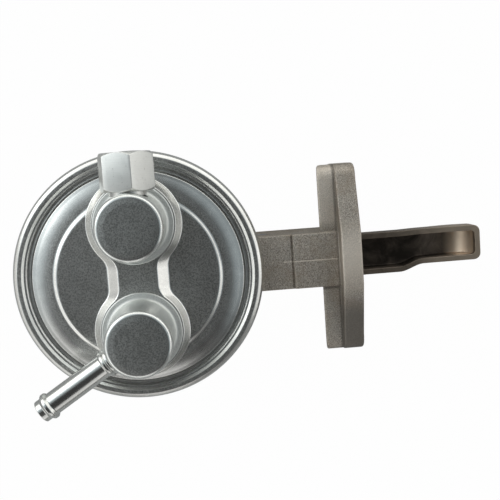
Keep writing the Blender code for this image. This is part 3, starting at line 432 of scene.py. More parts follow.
def cast_alloy(name, colour, thick, half):
    """Sand-blasted die casting: coarse grain, specks, stains, a parting line, painted highlights, painted
    shade behind the flange.
    """
    made, nodes, place = new_finish(name)
    x, y = nodes.parts(place)[:2]
    coarse = nodes.noise(place, 700.0, 4.0, 0.65)
    grain = nodes.noise(place, 2600.0, 3.0, 0.75)
    stain = nodes.rise(nodes.noise(place, 60.0, 4.0, 0.6, 0.8), 0.40, 0.68)
    speck = nodes.rise(nodes.noise(place, 1900.0, 2.0, 0.5), 0.60, 0.74)
    # parting line: a raised line in the bump, painted lighter as a painted highlight
    seam = (1.0 - nodes.rise(abs(y), 0.0001, 0.0003)) * nodes.band(x, -0.034, -0.0095, 0.0005)
    rim = nodes.rise(x, -0.010, -0.009)     # 1 on the flange's plate, 0 behind it
    # painted shade: in the joint behind the flange's plate, and on the ledge under the neck
    joint = nodes.band(x, -thick - 0.0011, -thick, 0.0004)
    under_neck = nodes.band(y, -half - 0.0013, -half, 0.0004) * (1.0 - nodes.rise(x, -thick - 0.0003, -thick))
    painted_shade = nodes.math("MAXIMUM", joint, under_neck) * (0.5 + 0.5 * coarse)
    ledge = 1.0 - nodes.rise(-0.0175 - x, 0.0, 0.0005)
    brown = (0.80 * colour[0], 0.72 * colour[1], 0.62 * colour[2])
    paint = nodes.layered(
        tone(colour, 0.40),
        (nodes.rise(grain, 0.38, 0.62), tone(colour, 1.18)),
        (stain * 0.45, tone(brown, 0.8)),
        (speck * 0.45, tone(colour, 1.7)),
        # painted highlight on the parting line
        (seam * 0.5, tone(colour, 1.6)),
        # painted highlight across the flange's flat middle
        (nodes.band(y, -0.011, 0.011, 0.010) * rim * 0.65, tone(colour, 1.6)),
        # painted shade on the flange towards -Y
        (nodes.rise(-1.0 * y, 0.012, 0.026) * rim * 0.9, tone(colour, 0.35)),
        # painted light on the ledge towards +Y, in its grain
        (nodes.rise(y, 0.013, 0.018) * (1.0 - rim) * grain * 0.8, tone(colour, 1.7)),
        # painted shade behind the flange and under the neck
        (painted_shade * ledge * 0.8, tone(colour, 0.25)))
    rounded = nodes.node("ShaderNodeBevel", {"samples": 6}, {"Radius": 0.0007})
    normal = nodes.bump(coarse * 0.6 + grain * 0.9 + seam * 0.5, 0.00028, 0.85, rounded)
    return shade(made, paint, 0.40 + 0.16 * coarse, normal, 0.9)


def bright_steel(name, colour, base_rough, turning=NOWHERE, centre=AXIS, haze=0.5):
    """Plated or ground steel with fine marks round its own axis and small dull spots."""
    made, nodes, place = new_finish(name)
    along = nodes.parts(nodes.turn(nodes.seen_from(place, centre), turning))[2]
    marks = nodes.node("ShaderNodeTexNoise", {"noise_dimensions": "1D"}, {
        "W": along, "Scale": 3800.0, "Detail": 3.0, "Roughness": 0.7})
    cloud = nodes.noise(place, 120.0, 4.0, 0.6, 0.5)
    spot = nodes.rise(nodes.noise(place, 1300.0, 2.0), 0.62, 0.74)
    paint = nodes.layered(
        tone(colour, 0.92), (nodes.rise(cloud, 0.3, 0.75), tone(colour, 1.04)),
        (nodes.rise(marks, 0.4, 0.6) * 0.25, tone(colour, 0.8)), (spot * 0.4, tone(colour, 0.45)))
    rough = base_rough + haze * 0.16 * cloud + 0.10 * spot + 0.05 * marks
    return shade(made, paint, rough, nodes.bump(marks + cloud * 0.6, 0.000012, 0.6), 1.0)


def oiled_steel(name, colour, edge_colour):
    """Heat-blackened stamping, worn to tan steel along its edges, with a painted highlight under the cam pad.
    """
    made, nodes, place = new_finish(name)
    grain = nodes.noise(place, 1700.0, 3.0, 0.6)
    cloud = nodes.noise(place, 110.0, 4.0, 0.65, 0.8)
    corner = nodes.node("ShaderNodeNewGeometry", {}, {}, "Pointiness")
    x, y, z = nodes.parts(place)
    rubbed = nodes.rise(x, 0.018, 0.050)
    worn = nodes.rise(corner + 0.12 * (cloud - 0.5), 0.50, 0.56) * (0.35 + 0.65 * rubbed)
    # painted highlight where the web curls up under the cam pad and catches light
    pad_highlight = nodes.band(x, 0.0455, 0.0550, 0.0035) * (1.0 - nodes.rise(abs(y - 0.0015), 0.0050, 0.0066))
    pad_highlight = pad_highlight * (1.0 - nodes.rise(z, MID_Z + 0.001, MID_Z + 0.003))
    paint = nodes.layered(
        tone(colour, 0.35), (nodes.rise(cloud, 0.35, 0.7), tone(colour, 1.1)),
        (worn * 0.8, tone(edge_colour, 1.0)), (pad_highlight * 0.9, tone(edge_colour, 2.1)))
    rounded = nodes.node("ShaderNodeBevel", {"samples": 6}, {"Radius": 0.0005})
    normal = nodes.bump(grain + cloud, 0.00004, 0.7, rounded)
    return shade(made, paint, 0.30 + 0.25 * cloud + 0.10 * grain, normal, 0.85)


def rubber(name, colour):
    """Moulded rubber, slightly bloomed."""
    made, nodes, place = new_finish(name)
    cloud = nodes.noise(place, 160.0, 4.0, 0.6)
    grain = nodes.noise(place, 3000.0, 2.0, 0.6)
    paint = nodes.mix(cloud, tone(colour, 0.7), tone(colour, 1.6))
    return shade(made, paint, 0.62 + 0.2 * cloud, nodes.bump(grain, 0.00003, 0.8))


def rubbered_fabric(name, colour):
    """Rubber-proofed cloth: two crossed sets of threads under the skin."""
    made, nodes, place = new_finish(name)
    pitch = math.tau / 0.0007
    warp, weft = [nodes.math("SINE", part * pitch) for part in nodes.parts(place)[:2]]
    weave = warp * weft * 0.5 + 0.5
    cloud = nodes.noise(place, 140.0, 4.0, 0.6)
    paint = nodes.mix(weave * 0.6 + cloud * 0.3, tone(colour, 0.6), tone(colour, 1.5))
    return shade(made, paint, 0.7 + 0.15 * cloud, nodes.bump(weave, 0.00008, 0.8))


# ---------------------------------------------------------------- settings

def length(name, description, default):
    """A setting in metres."""
    return bpy.props.FloatProperty(name=name, description=description, default=default, min=0.0,
                                   unit="LENGTH", precision=5)


def colour(name, description, default):
    """A colour setting."""
    return bpy.props.FloatVectorProperty(name=name, description=description, default=default, size=3,
                                         subtype="COLOR", min=0.0, max=1.0)


def group(kind, name, description):
    """A group of settings."""
    return bpy.props.PointerProperty(type=kind, name=name, description=description)


class CoverSizes(bpy.types.PropertyGroup):
    rim_radius: length("Rim radius", "Outside of the crimped rim", 0.053)
    sheet: length("Sheet", "Thickness of the pressed sheet", 0.0012)
    plateau_radius: length("Plateau radius", "Edge of the raised middle", 0.0354)
    lobe_top: length("Lobe top radius", "Flat top of each valve lobe", 0.0172)
    lobe_foot: length("Lobe foot radius", "Foot of each valve lobe", 0.0202)
    strap_top: length("Strap top half width", "Half of the flat strap between the lobes", 0.0078)
    strap_foot: length("Strap foot half width", "Half of the strap's foot", 0.0132)
    strap_fillet: length("Strap fillet", "Hollow corners between strap and lobes", 0.0075)


class CupSizes(bpy.types.PropertyGroup):
    off_axis: length("Distance from the pump axis", "Cup axis to pump axis", 0.0226)
    radius: length("Wall radius", "Outside of the drawn wall", 0.0137)
    height: length("Height", "Foot to top", 0.0272)
    foot_radius: length("Foot ring radius", "Outside of the foot ring", 0.0168)
    top_fillet: length("Top fillet", "Rounding between wall and top", 0.0029)


class PortSizes(bpy.types.PropertyGroup):
    flats: length("Width across flats", "Hexagon of the outlet fitting", 0.0202)
    hexagon: length("Hexagon length", "Along the outlet", 0.0154)
    tube_radius: length("Tube radius", "Outside of the inlet tube", 0.0047)
    tube_reach: length("Tube reach", "Cup axis to the tube's tip", 0.0494)


class CastingSizes(bpy.types.PropertyGroup):
    flange_length: length("Half length", "Flange centre to the flange's end", 0.0415)
    flange_height: length("Half height", "Flange centre to its flat edge", 0.020)
    thickness: length("Thickness", "Mounting flange", 0.009)
    neck_half: length("Neck half width", "Half of the hollow neck", 0.012)
    edge: length("Edge radius", "Rounding of cast edges", 0.0009)


class ArmSizes(bpy.types.PropertyGroup):
    reach: length("Reach", "Mounting face to the arm's tip", 0.057)
    sheet: length("Sheet", "Thickness of the stamped arm", 0.00235)
    bend: length("Bend radius", "Outside of the channel's bends", 0.0022)


class Finishes(bpy.types.PropertyGroup):
    zinc: colour("Cover", "Zinc plated sheet", (0.71, 0.712, 0.69))
    cups: colour("Cups", "Drawn cups", (0.70, 0.715, 0.695))
    fitting: colour("Fitting", "Plated outlet fitting and tube", (0.74, 0.745, 0.72))
    casting: colour("Casting", "Die-cast body", (0.52, 0.472, 0.415))
    arm: colour("Arm", "Rocker arm", (0.13, 0.105, 0.085))
    arm_edge: colour("Arm edges", "Worn edges of the arm", (0.46, 0.38, 0.30))


class PumpSettings(bpy.types.PropertyGroup):
    cover: group(CoverSizes, "Cover", "Pressed cover")
    cups: group(CupSizes, "Cups", "Valve cups")
    ports: group(PortSizes, "Ports", "Outlet and inlet")
    casting: group(CastingSizes, "Casting", "Die-cast body")
    arm: group(ArmSizes, "Arm", "Rocker arm")
    finishes: group(Finishes, "Finishes", "Colours")


# ---------------------------------------------------------------- cover

# heights above the flange's centre
RIM_LAND = 0.0206        # clamped land
CRIMP = 0.0134           # underside of the crimped lip
STEP = 0.0226            # foot of the slope
PLATEAU = 0.0250
LOBE = 0.0285            # top of the strap and lobes
HOLE_LOW, HOLE_HIGH = 0.0262, 0.0300     # between these the valve holes are cut
# radii
SLOPE_R = 0.0432         # foot of the slope
VALVE_HOLE = 0.0080
INNER_R = 0.010          # spun rings that become the raised top
WALL_R = 0.020           # spun rings that become its wall
QUARTER = (12, 12, 40)   # outline points on strap, fillet and lobe


def dogbone(lobe, half, fillet, off_axis):
    """Outline of the two lobes and their strap, from +X round anticlockwise."""
    centre_x = half + fillet
    drop = math.sqrt((lobe + fillet) ** 2 - centre_x ** 2)
    fillet_y = off_axis - drop
    lean = math.atan2(-drop, centre_x)
    straight, hollow, round_part = QUARTER
    quarter = [Vector((half, fillet_y * step / straight)) for step in range(straight)]
    for step in range(hollow):
        angle = math.pi + lean * step / hollow
        quarter.append(Vector((centre_x + fillet * math.cos(angle), fillet_y + fillet * math.sin(angle))))
    for step in range(round_part + 1):
        angle = lean + (math.pi / 2 - lean) * step / round_part
        quarter.append(Vector((lobe * math.cos(angle), off_axis + lobe * math.sin(angle))))
    upper = quarter + [Vector((-point.x, point.y)) for point in reversed(quarter[:-1])]
    return upper + [Vector((point.x, -point.y)) for point in reversed(upper[1:-1])]


def base_height(radius, plateau_r):
    """Height of the cover's plateau and slope without the raised top, with a rounded ridge between them."""
    ridge_in, ridge_out = plateau_r - 0.0016, plateau_r + 0.0003
    rise, bend = 0.0015, 1.8     # height of the slope, and how late it falls
    if radius <= ridge_in:
        return PLATEAU
    if radius >= ridge_out:
        return STEP + rise * (1.0 - held((radius - ridge_out) / (SLOPE_R - ridge_out)) ** bend)
    into = (ridge_out - radius) / (ridge_out - ridge_in)
    keep = 2 * into ** 3 - 3 * into ** 2 + 1
    return keep * (STEP + rise) + (1 - keep) * PLATEAU


def wall_fall(share):
    """Fall of the raised top's wall: a tight crest, a straight flank and a wide foot fillet."""
    crest, foot = 0.12, 0.16
    steep = 1.0 / (1.0 - crest / 2 - foot / 2)
    if share < crest:
        return steep * share ** 2 / (2 * crest)
    if share < 1.0 - foot:
        return steep * (share - crest / 2)
    return 1.0 - steep * (1.0 - share) ** 2 / (2 * foot)


def press_cover(sizes, off_axis):
    """The rule that presses a spun disc into plateau, strap and lobes."""
    top = dogbone(sizes.lobe_top, sizes.strap_top, sizes.strap_fillet, off_axis)
    foot = dogbone(sizes.lobe_foot, sizes.strap_foot, sizes.strap_fillet, off_axis)

    def place(point):
        radius = math.hypot(point.x - PUMP_X, point.y)
        if radius > SLOPE_R - NEAR:
            return point
        around = math.atan2(point.y, point.x - PUMP_X) % math.tau
        step = round(around / math.tau * ROUND) % ROUND
        angle = math.tau * step / ROUND
        if radius <= INNER_R + NEAR:
            spine = Vector((0.0, min(max(top[step].y, -off_axis), off_axis)))
            flat = top[step].lerp(spine, 1.0 - radius / INNER_R)
            height = LOBE
        elif radius <= WALL_R + NEAR:
            share = (radius - INNER_R) / (WALL_R - INNER_R)
            flat = top[step].lerp(foot[step], share)
            base = base_height(flat.length, sizes.plateau_radius)
            height = LOBE - (LOBE - base) * wall_fall(share)
        else:
            share = (radius - WALL_R) / (SLOPE_R - WALL_R)
            rim = Vector((SLOPE_R * math.cos(angle), SLOPE_R * math.sin(angle)))
            flat = foot[step].lerp(rim, share)
            height = base_height(flat.length, sizes.plateau_radius)
        return Vector((PUMP_X + flat.x, flat.y, MID_Z + height))

    return place


class FUELPUMP_OT_cover(bpy.types.Operator):
    """Models the pressed cover with its crimped rim, plateau, strap and valve lobes"""
    bl_idname = "fuel_pump.cover"
    bl_label = "Cover"

    def execute(self, context):
        settings = context.scene.fuel_pump
        sizes = settings.cover
        rim = sizes.rim_radius
        hub = 0.85 * INNER_R
        spun = [hub, 0.93 * INNER_R] + spaced(INNER_R, WALL_R, 16) + spaced(WALL_R, SLOPE_R, 60)[1:-1]
        step, crest = RIM_LAND + 0.0010, RIM_LAND + 0.0019      # the rim's bead rises in two steps
        outer = curved([
            (SLOPE_R, STEP), (0.0444, STEP - 0.0003, 0.0005), (0.0455, RIM_LAND, 0.0005),
            (0.0462, RIM_LAND, 0.0003), (0.0473, step, 0.0003), (0.0480, step, 0.0003),
            (0.0491, crest, 0.0005), (rim - 0.0023, crest, 0.0010), (rim - 0.0008, crest - 0.0010, 0.0012),
            (rim, crest - 0.0032, 0.0016), (rim, CRIMP, 0.0015), (rim - 0.0049, CRIMP),
        ])
        cover = turned("cover_pressing", [(radius, LOBE) for radius in spun] + outer, steps=ROUND)
        fill_middle(cover, hub + 0.01 * INNER_R)
        place_points(cover, press_cover(sizes, settings.cups.off_axis))
        if sum(face.normal.z * face.area for face in cover.data.polygons) < 0:
            edit(cover)
            bpy.ops.mesh.flip_normals()
            clear()
        finish_with(cover, "SOLIDIFY", thickness=sizes.sheet, offset=-1.0)
        for way in (1, -1):
            hole = AXIS + ACROSS * (way * settings.cups.off_axis)
            cutter = bar("valve_hole", VALVE_HOLE, hole + UP * HOLE_LOW, hole + UP * HOLE_HIGH, 64)
            combine(cover, "DIFFERENCE", cutter)
        # rings of painted shade: in the rim's two steps, and a dark band painted on its bead
        rings = ((0.0453, 0.0461, 0.0004, 0.6), (0.0476, 0.0481, 0.0004, 0.35),
                 (0.0498, 0.0510, 0.0005, 0.35))
        finish = zinc_sheet("zinc_plated_cover", settings.finishes.zinc, AXIS, rings)
        settle(cover, 35, "root", finish, "fuel_cover")
        return {"FINISHED"}


# ---------------------------------------------------------------- cups and ports

CUP_FOOT = 0.0288        # underside of the cups, above the flange's centre
CUP_SHEET = 0.0011
PORT_RISE = 0.0138       # port axes above the cups' feet
TUBE_ANGLE = math.radians(180.0 + 32.3)
TUBE_WAY = Vector((math.cos(TUBE_ANGLE), math.sin(TUBE_ANGLE), 0.0))
HEX_TURN = math.radians(13.5)
PORTS = (                # cup, its side of the axis, its port's way out and the hole's radius
    ("outlet_cup", 1, ACROSS, 0.0078),
    ("inlet_cup", -1, TUBE_WAY, 0.0050),
)


class FUELPUMP_OT_cups(bpy.types.Operator):
    """Models the two drawn cups over the valves"""
    bl_idname = "fuel_pump.cups"
    bl_label = "Cups"

    def execute(self, context):
        settings = context.scene.fuel_pump
        sizes = settings.cups
        top = CUP_FOOT + sizes.height
        foot = CUP_FOOT + CUP_SHEET
        wall = sizes.radius
        bore = wall - CUP_SHEET
        outside = curved([
            (bore, CUP_FOOT), (sizes.foot_radius, CUP_FOOT, 0.0003), (sizes.foot_radius, foot, 0.0005),
            (wall, foot, 0.0016), (wall - 0.0002, top - 0.0004, sizes.top_fillet),
            (wall - 0.0042, top - 0.00006, 0.003), (0.0, top - 0.00002),
        ], 8)
        inside = curved([
            (0.0, top - CUP_SHEET), (bore - 0.0002, top - CUP_SHEET, 0.0018), (bore, CUP_FOOT),
        ], 6)
        # rings of painted shade: on the foot ring's edge, and the walls' shadow just outside the walls
        rings = ((sizes.foot_radius - 0.0002, sizes.foot_radius + 0.001, 0.0003, 0.5),
                 (wall + 0.0002, wall + 0.0012, 0.0004, 0.8))
        for name, way, run, hole in PORTS:
            place = AXIS + ACROSS * (way * sizes.off_axis)
            cup = turned(name + "_shell", outside + inside, place)
            port = place + UP * (CUP_FOOT + PORT_RISE)
            combine(cup, "DIFFERENCE", bar("port_hole", hole, port + run * 0.004, port + run * 0.018))
            # the cups' walls get a painted sheen below their tops
            finish = zinc_sheet(name + "_plating", settings.finishes.cups, place, rings, top)
            settle(cup, 35, "root", finish, name)
        return {"FINISHED"}


class FUELPUMP_OT_outlet(bpy.types.Operator):
    """Models the hexagonal outlet fitting with its flare socket"""
    bl_idname = "fuel_pump.outlet"
    bl_label = "Outlet fitting"

    def execute(self, context):
        settings = context.scene.fuel_pump
        sizes = settings.ports
        cup = settings.cups
        place = AXIS + UP * (CUP_FOOT + PORT_RISE)
        start = cup.off_axis + cup.radius + SEAT_GAP
        end = start + sizes.hexagon
        corner = sizes.flats / math.sqrt(3)
        clear()
        bpy.ops.mesh.primitive_cylinder_add(
            vertices=6, radius=corner, depth=sizes.hexagon, location=place + ACROSS * (start + end) / 2,
            rotation=(QUARTER_TURN, HEX_TURN, 0.0))
        fitting = bpy.context.object
        fitting.name = "outlet_hexagon"
        apply_place(fitting)
        face_r = sizes.flats / 2 - 0.0003       # where the chamfer meets each end face
        wide = 2 * corner - face_r
        run = 0.0030                            # length of the chamfer, out to that radius
        drum = [
            (0.0, start - 0.0001), (face_r, start - 0.0001), (wide, start + run),
            (wide, end - run), (face_r, end + 0.0001), (0.0, end + 0.0001),
        ]
        combine(fitting, "INTERSECT", turned("hex_drum", drum, place, ACROSS, steps=120))
        soften(fitting, 0.00022, 2, 18)
        neck_r = 0.0075
        inner = start - SEAT_GAP - CUP_SHEET - SEAT_GAP
        neck = [(0.0, inner), (neck_r, inner), (neck_r, start + 0.0011), (0.0, start + 0.0011)]
        combine(fitting, "UNION", turned("fitting_neck", neck, place, ACROSS, steps=64))
        bottom = end - 0.0115                   # of the flare socket
        bore_r, cone_r, socket_r, mouth_r = 0.0029, 0.0046, 0.0062, 0.0073
        socket = [
            (0.0, inner - 0.001), (bore_r, inner - 0.001), (bore_r, bottom + 0.0025), (cone_r, bottom),
            (socket_r, bottom), (socket_r, end - 0.0008), (mouth_r, end + SEAT_GAP), (0.0, end + SEAT_GAP),
        ]
        combine(fitting, "DIFFERENCE", turned("flare_socket", socket, place, ACROSS, steps=64))
        finish = bright_steel("plated_fitting_steel", settings.finishes.fitting, 0.30,
                              (QUARTER_TURN, 0.0, 0.0), place, 0.8)
        settle(fitting, 25, "root", finish, "outlet_fitting")
        return {"FINISHED"}


class FUELPUMP_OT_inlet(bpy.types.Operator):
    """Models the inlet hose tube with its collar, bead and open tip"""
    bl_idname = "fuel_pump.inlet"
    bl_label = "Inlet tube"

    def execute(self, context):
        settings = context.scene.fuel_pump
        sizes = settings.ports
        cup = settings.cups
        place = AXIS + Vector((0.0, -cup.off_axis, CUP_FOOT + PORT_RISE))
        radius = sizes.tube_radius
        bore = radius - 0.001
        collar = cup.radius + SEAT_GAP
        tip = sizes.tube_reach
        bead = tip - 0.0042
        flare, swell = radius + 0.0011, radius + 0.0010      # of the collar's first ring, and of the others
        section = curved([
            (bore, collar - 0.0017), (radius, collar - 0.0017), (radius, collar, 0.0002),
            (flare, collar + 0.0002, 0.0005), (flare, collar + 0.0015, 0.0005),
            (radius + 0.0003, collar + 0.0018, 0.0003), (swell, collar + 0.0021, 0.0005),
            (swell, collar + 0.0034, 0.0006), (radius, collar + 0.0038, 0.0006),
            (radius, bead - 0.0017, 0.0008), (swell, bead - 0.0006, 0.0008),
            (swell, bead + 0.0006, 0.0008), (radius, bead + 0.0017, 0.0008),
            (radius, tip - 0.0001, 0.0004), (radius - 0.0005, tip, 0.0004), (bore, tip - 0.0001, 0.0004),
            (bore, collar),
        ])
        side = Vector((-TUBE_WAY.y, TUBE_WAY.x, 0.0))
        tube = turned("hose_tube", section, place, TUBE_WAY, side, 72, ring=True)
        finish = bright_steel("plated_tube_steel", tone(settings.finishes.fitting, 0.88), 0.13,
                              (0.0, QUARTER_TURN, TUBE_ANGLE), place, 0.6)
        settle(tube, 40, "root", finish, "inlet_tube")
        return {"FINISHED"}


# ---------------------------------------------------------------- casting

BOWL_R = 0.0453
CHAMBER_LOW = MID_Z - 0.0144     # underside of the lever chamber
LEDGE_HALF = 0.012               # half the height of the flange's rear ledge
LEDGE_LEAN = 0.0048              # how much less deep the ledge is at its foot
BOLT_OFF = 0.0318                # bolt holes from the flange's centre


def flange_outline(length_half, height, shoulder, inset=0.0):
    """Two-bolt flange: flat edges, sloping shoulders, rounded ends."""
    flat_half, rounding, end_half = 0.011, 0.0072, 0.0065
    end = length_half - inset
    quarter = [Vector((flat_half, height)), Vector((length_half - rounding, shoulder))]
    start, corner, finish = quarter[-1], Vector((end, shoulder)), Vector((end, end_half))
    for share in spaced(0.0, 1.0, 8)[1:]:
        quarter.append(start.lerp(corner, share).lerp(corner.lerp(finish, share), share))
    right = quarter + [Vector((point.x, -point.y)) for point in reversed(quarter)]
    both = right + [Vector((-point.x, point.y)) for point in reversed(right)]
    return [(point.x, point.y + MID_Z) for point in both]


def rectangle(low_a, high_a, low_b, high_b):
    """The four corners of a rectangle."""
    return [(low_a, low_b), (high_a, low_b), (high_a, high_b), (low_a, high_b)]


class FUELPUMP_OT_casting(bpy.types.Operator):
    """Models the die-cast body: flange, ledge, neck, bowl and round rim"""
    bl_idname = "fuel_pump.casting"
    bl_label = "Casting"

    def execute(self, context):
        settings = context.scene.fuel_pump
        sizes = settings.casting
        edge = sizes.edge
        half = sizes.neck_half
        thick = sizes.thickness
        casting = plate("casting_body", flange_outline(sizes.flange_length, sizes.flange_height, 0.0135),
                        -thick, 0.0, "X")
        soften(casting, edge)
        ledge = plate("ledge", flange_outline(sizes.flange_length, LEDGE_HALF, LEDGE_HALF, SEAT_GAP),
                      -thick - 0.008, -thick / 2, "X")
        place_points(ledge, lambda point: point if point.x > -thick else point + OUT * (
            LEDGE_LEAN * (MID_Z + LEDGE_HALF - point.z) / (2 * LEDGE_HALF)))
        soften(ledge, edge)

        back, under_rim = PUMP_X - 0.0121, PUMP_X + 0.036
        top, low = MID_Z + 0.0137, MID_Z - 0.0170
        neck_top = top - 0.001      # behind the small step across the neck
        neck = plate("neck", curved([
            (-thick / 2, low), (-thick / 2, top), (-0.0288, top, 0.0006), (-0.0298, neck_top, 0.0006),
            (under_rim, neck_top), (under_rim, MID_Z + 0.002), (back, MID_Z + 0.002), (back, low, 0.0048),
            (back + 0.001, low),
        ], 6), -half, half, "Y")
        soften(neck, edge * 1.4, angle=35)
        rim_r, rim_top, rim_low, foot_r, floor = 0.0515, 0.018, 0.0149, 0.0375, 0.0004
        bowl = turned("bowl", curved([
            (0.0, rim_top), (rim_r, rim_top, 0.0002), (rim_r, rim_low, 0.0004),
            (BOWL_R + 0.003, rim_low, 0.0012), (foot_r, floor, 0.0015), (0.0, floor),
        ]), steps=144)
        combine(casting, "UNION", ledge, neck, bowl)

        wall = 0.0022
        inner_floor, mouth = 0.0036, rim_top + SEAT_GAP
        hollow = turned("bowl_hollow", curved([
            (0.0, inner_floor), (foot_r - 0.003, inner_floor, 0.0012), (BOWL_R, 0.0172), (BOWL_R, mouth),
            (0.0, mouth),
        ]), steps=144)
        roof, chamber_top = MID_Z + 0.0103, MID_Z + floor
        step_x, chamber_x = PUMP_X + BOWL_R, PUMP_X - 0.0095
        channel = plate("lever_channel", [
            (thick, CHAMBER_LOW), (thick, roof), (step_x, roof), (step_x, chamber_top),
            (chamber_x, chamber_top), (chamber_x, CHAMBER_LOW),
        ], wall - half, half - wall, "Y")
        groove = plate("neck_groove", [
            (-0.0301, neck_top + 0.0001), (-0.0293, neck_top + 0.0011), (-0.0294, neck_top - 0.0005),
            (-0.0297, neck_top - 0.0005),
        ], -half - 0.001, half + 0.001, "Y")
        vent = AXIS + UP * 0.0108
        wide = ACROSS * (half + 0.003)
        tools = [
            hollow, channel, groove, bar("rod_hole", 0.0028, AXIS - UP * 0.0025, AXIS + UP * 0.0066, 32),
            bar("vent_hole", 0.0015, vent - OUT * 0.053, vent - OUT * 0.0345, 24),
            bar("pin_hole", PIN_BORE, PIVOT - wide, PIVOT + wide, 40),
        ]
        for way in (1, -1):
            ends = sorted((way * (half + wall), way * (sizes.flange_length - wall)))
            pocket = plate("bolt_pocket", rectangle(*ends, MID_Z - 0.0098, MID_Z + 0.0098),
                           -2.9 * thick, -thick, "X")
            soften(pocket, 0.0018)
            bolt = Vector((0.0, way * BOLT_OFF, MID_Z))
            tools += [pocket, bar("bolt_hole", 0.0044, bolt - OUT * 0.02, bolt + OUT * 0.01, 40)]
        combine(casting, "DIFFERENCE", *tools)
        finish = cast_alloy("blasted_casting", settings.finishes.casting, thick, half)
        settle(casting, 30, "root", finish, "body_casting")
        return {"FINISHED"}


# ---------------------------------------------------------------- rocker arm and its pin

# heights from the flange's centre
ARM_LOW = -0.006
ARM_TOP = 0.0055                 # at the mounting face
ARM_TIP_TOP = 0.0045             # at the tip
BRIDGE_LOW, BRIDGE_HIGH = -0.0026, -0.0005
# across and along the arm
ARM_HALF = 0.0092
JOG_X, JOG_RUN = 0.0195, 0.011   # where the walls joggle, and over what length
JOG_LOW, JOG_HIGH = 0.0030, 0.0003
PAD_X, PAD_END = 0.031, 0.05935  # the web's sweep under the cam pad
PAD_DEPTH = 0.0025
ARM_REACH = 0.057                # where the top edge has fallen to the tip's height
STRAIGHT_X = 0.019               # up to here the arm needs no steps
BRIDGE_X = PIVOT_X - 0.0085      # front of the bridge that drives the link
EAR_X, EAR_RUN = PIVOT_X - 0.0065, 0.0026
TIP_SHARES = (0.3, 0.55, 0.75, 0.88, 0.96, 1.0)


def arm_edges(x):
    """Low Y, high Y, low Z and high Z of the arm's outside at one place."""
    jog = ease(held((x - JOG_X) / JOG_RUN))
    sweep = math.sin(math.pi * held((x - PAD_X) / (PAD_END - PAD_X))) ** 2
    high_z = ARM_TOP + (ARM_TIP_TOP - ARM_TOP) * held(x / ARM_REACH)
    return -ARM_HALF + JOG_LOW * jog, ARM_HALF + JOG_HIGH * jog, ARM_LOW - PAD_DEPTH * sweep, high_z


def arm_body(name, stations, bend, edges):
    """A rounded channel block drawn as one section, extruded from station to station and then shaped."""
    half, low, high = ARM_HALF, ARM_LOW, ARM_TOP
    section = curved([(-half, high), (-half, low, bend), (half, low, bend), (half, high)], 6)
    piece = draw(name, [Vector((stations[0], y, z)) for y, z in section])
    bpy.ops.mesh.edge_face_add()
    for start, end in zip(stations, stations[1:]):
        bpy.ops.mesh.extrude_region_move(TRANSFORM_OT_translate={"value": (end - start, 0.0, 0.0)})
    face_out(piece)

    def place(point):
        low_y, high_y, low_z, high_z = edges(point.x)
        tight = min(1.0, (high_z - low_z) / (4 * bend))
        y = low_y + (point.y + half) * tight if point.y < 0 else high_y + (point.y - half) * tight
        z = low_z + (point.z - low) * tight if point.z < (low + high) / 2 else high_z + point.z - high
        return Vector((point.x, y, z + MID_Z))

    place_points(piece, place)
    return piece


class FUELPUMP_OT_arm(bpy.types.Operator):
    """Models the stamped rocker arm and the pivot pin"""
    bl_idname = "fuel_pump.arm"
    bl_label = "Rocker arm"

    def execute(self, context):
        settings = context.scene.fuel_pump
        sizes = settings.arm
        sheet = sizes.sheet
        tip_r, tip_inner_r = 0.0030, 0.0018
        curl_r = 0.0072              # the web's inside curls up to the tip
        front = sizes.reach - tip_r
        end = sizes.reach - sheet

        def outside(x):
            if x < BRIDGE_X + NEAR:
                return -ARM_HALF, ARM_HALF, BRIDGE_LOW, BRIDGE_HIGH
            low_y, high_y, low_z, high_z = arm_edges(x)
            if x < EAR_X + EAR_RUN:
                share = 0.7 + 0.3 * (x - EAR_X) / EAR_RUN
                return low_y, high_y, low_z * share, high_z * share
            pull = tip_r * arc((x - front) / tip_r)
            return low_y + pull, high_y - pull, low_z + 0.6 * pull, high_z

        def inside(x):
            low_y, high_y, low_z, high_z = arm_edges(x)
            pull = sheet + tip_inner_r * arc((x - end + tip_inner_r) / tip_inner_r)
            curl = sheet + curl_r * arc((x - end + curl_r) / curl_r)
            return low_y + pull, high_y - pull, low_z + curl, high_z + 0.004

        stations = [BRIDGE_X - 0.0035, BRIDGE_X, EAR_X, EAR_X + EAR_RUN, -0.034, -0.033, 0.0]
        stations += spaced(STRAIGHT_X, front, 30) + [front + tip_r * share for share in TIP_SHARES]
        arm = arm_body("channel_arm", stations, sizes.bend, outside)
        start = end - tip_inner_r
        stations = [BRIDGE_X, 0.0] + spaced(STRAIGHT_X, start, 30)
        stations += [start + tip_inner_r * share for share in TIP_SHARES]
        hollow = arm_body("channel_hollow", stations, 0.0009, inside)
        half = ARM_HALF - sheet
        opening = rectangle(BRIDGE_X, PIVOT_X + 0.009, -half, half)
        window = plate("link_window", opening, CHAMBER_LOW, MID_Z, "Z")
        wide = ACROSS * 0.013
        combine(arm, "DIFFERENCE", hollow, window, bar("pin_bore", PIN_BORE, PIVOT - wide, PIVOT + wide, 40))
        finish = oiled_steel("blackened_arm", settings.finishes.arm, settings.finishes.arm_edge)
        settle(arm, 35, "rocker", finish, "rocker_arm")

        radius, recess_r, pin_half, dent = 0.003, 0.0012, 0.012, 0.0003
        pin = turned("pivot_pin_turned", curved([
            (0.0, -pin_half + dent), (recess_r, -pin_half), (radius, -pin_half, 0.0005),
            (radius, pin_half, 0.0005), (recess_r, pin_half), (0.0, pin_half - dent),
        ], 4), PIVOT, ACROSS, steps=48)
        finish = bright_steel("ground_pin_steel", (0.42, 0.42, 0.43), 0.22, (QUARTER_TURN, 0.0, 0.0), PIVOT)
        settle(pin, 35, "root", finish, "pivot_pin")
        return {"FINISHED"}


# ---------------------------------------------------------------- springs and diaphragm

DARK_STEEL = (0.36, 0.36, 0.37)


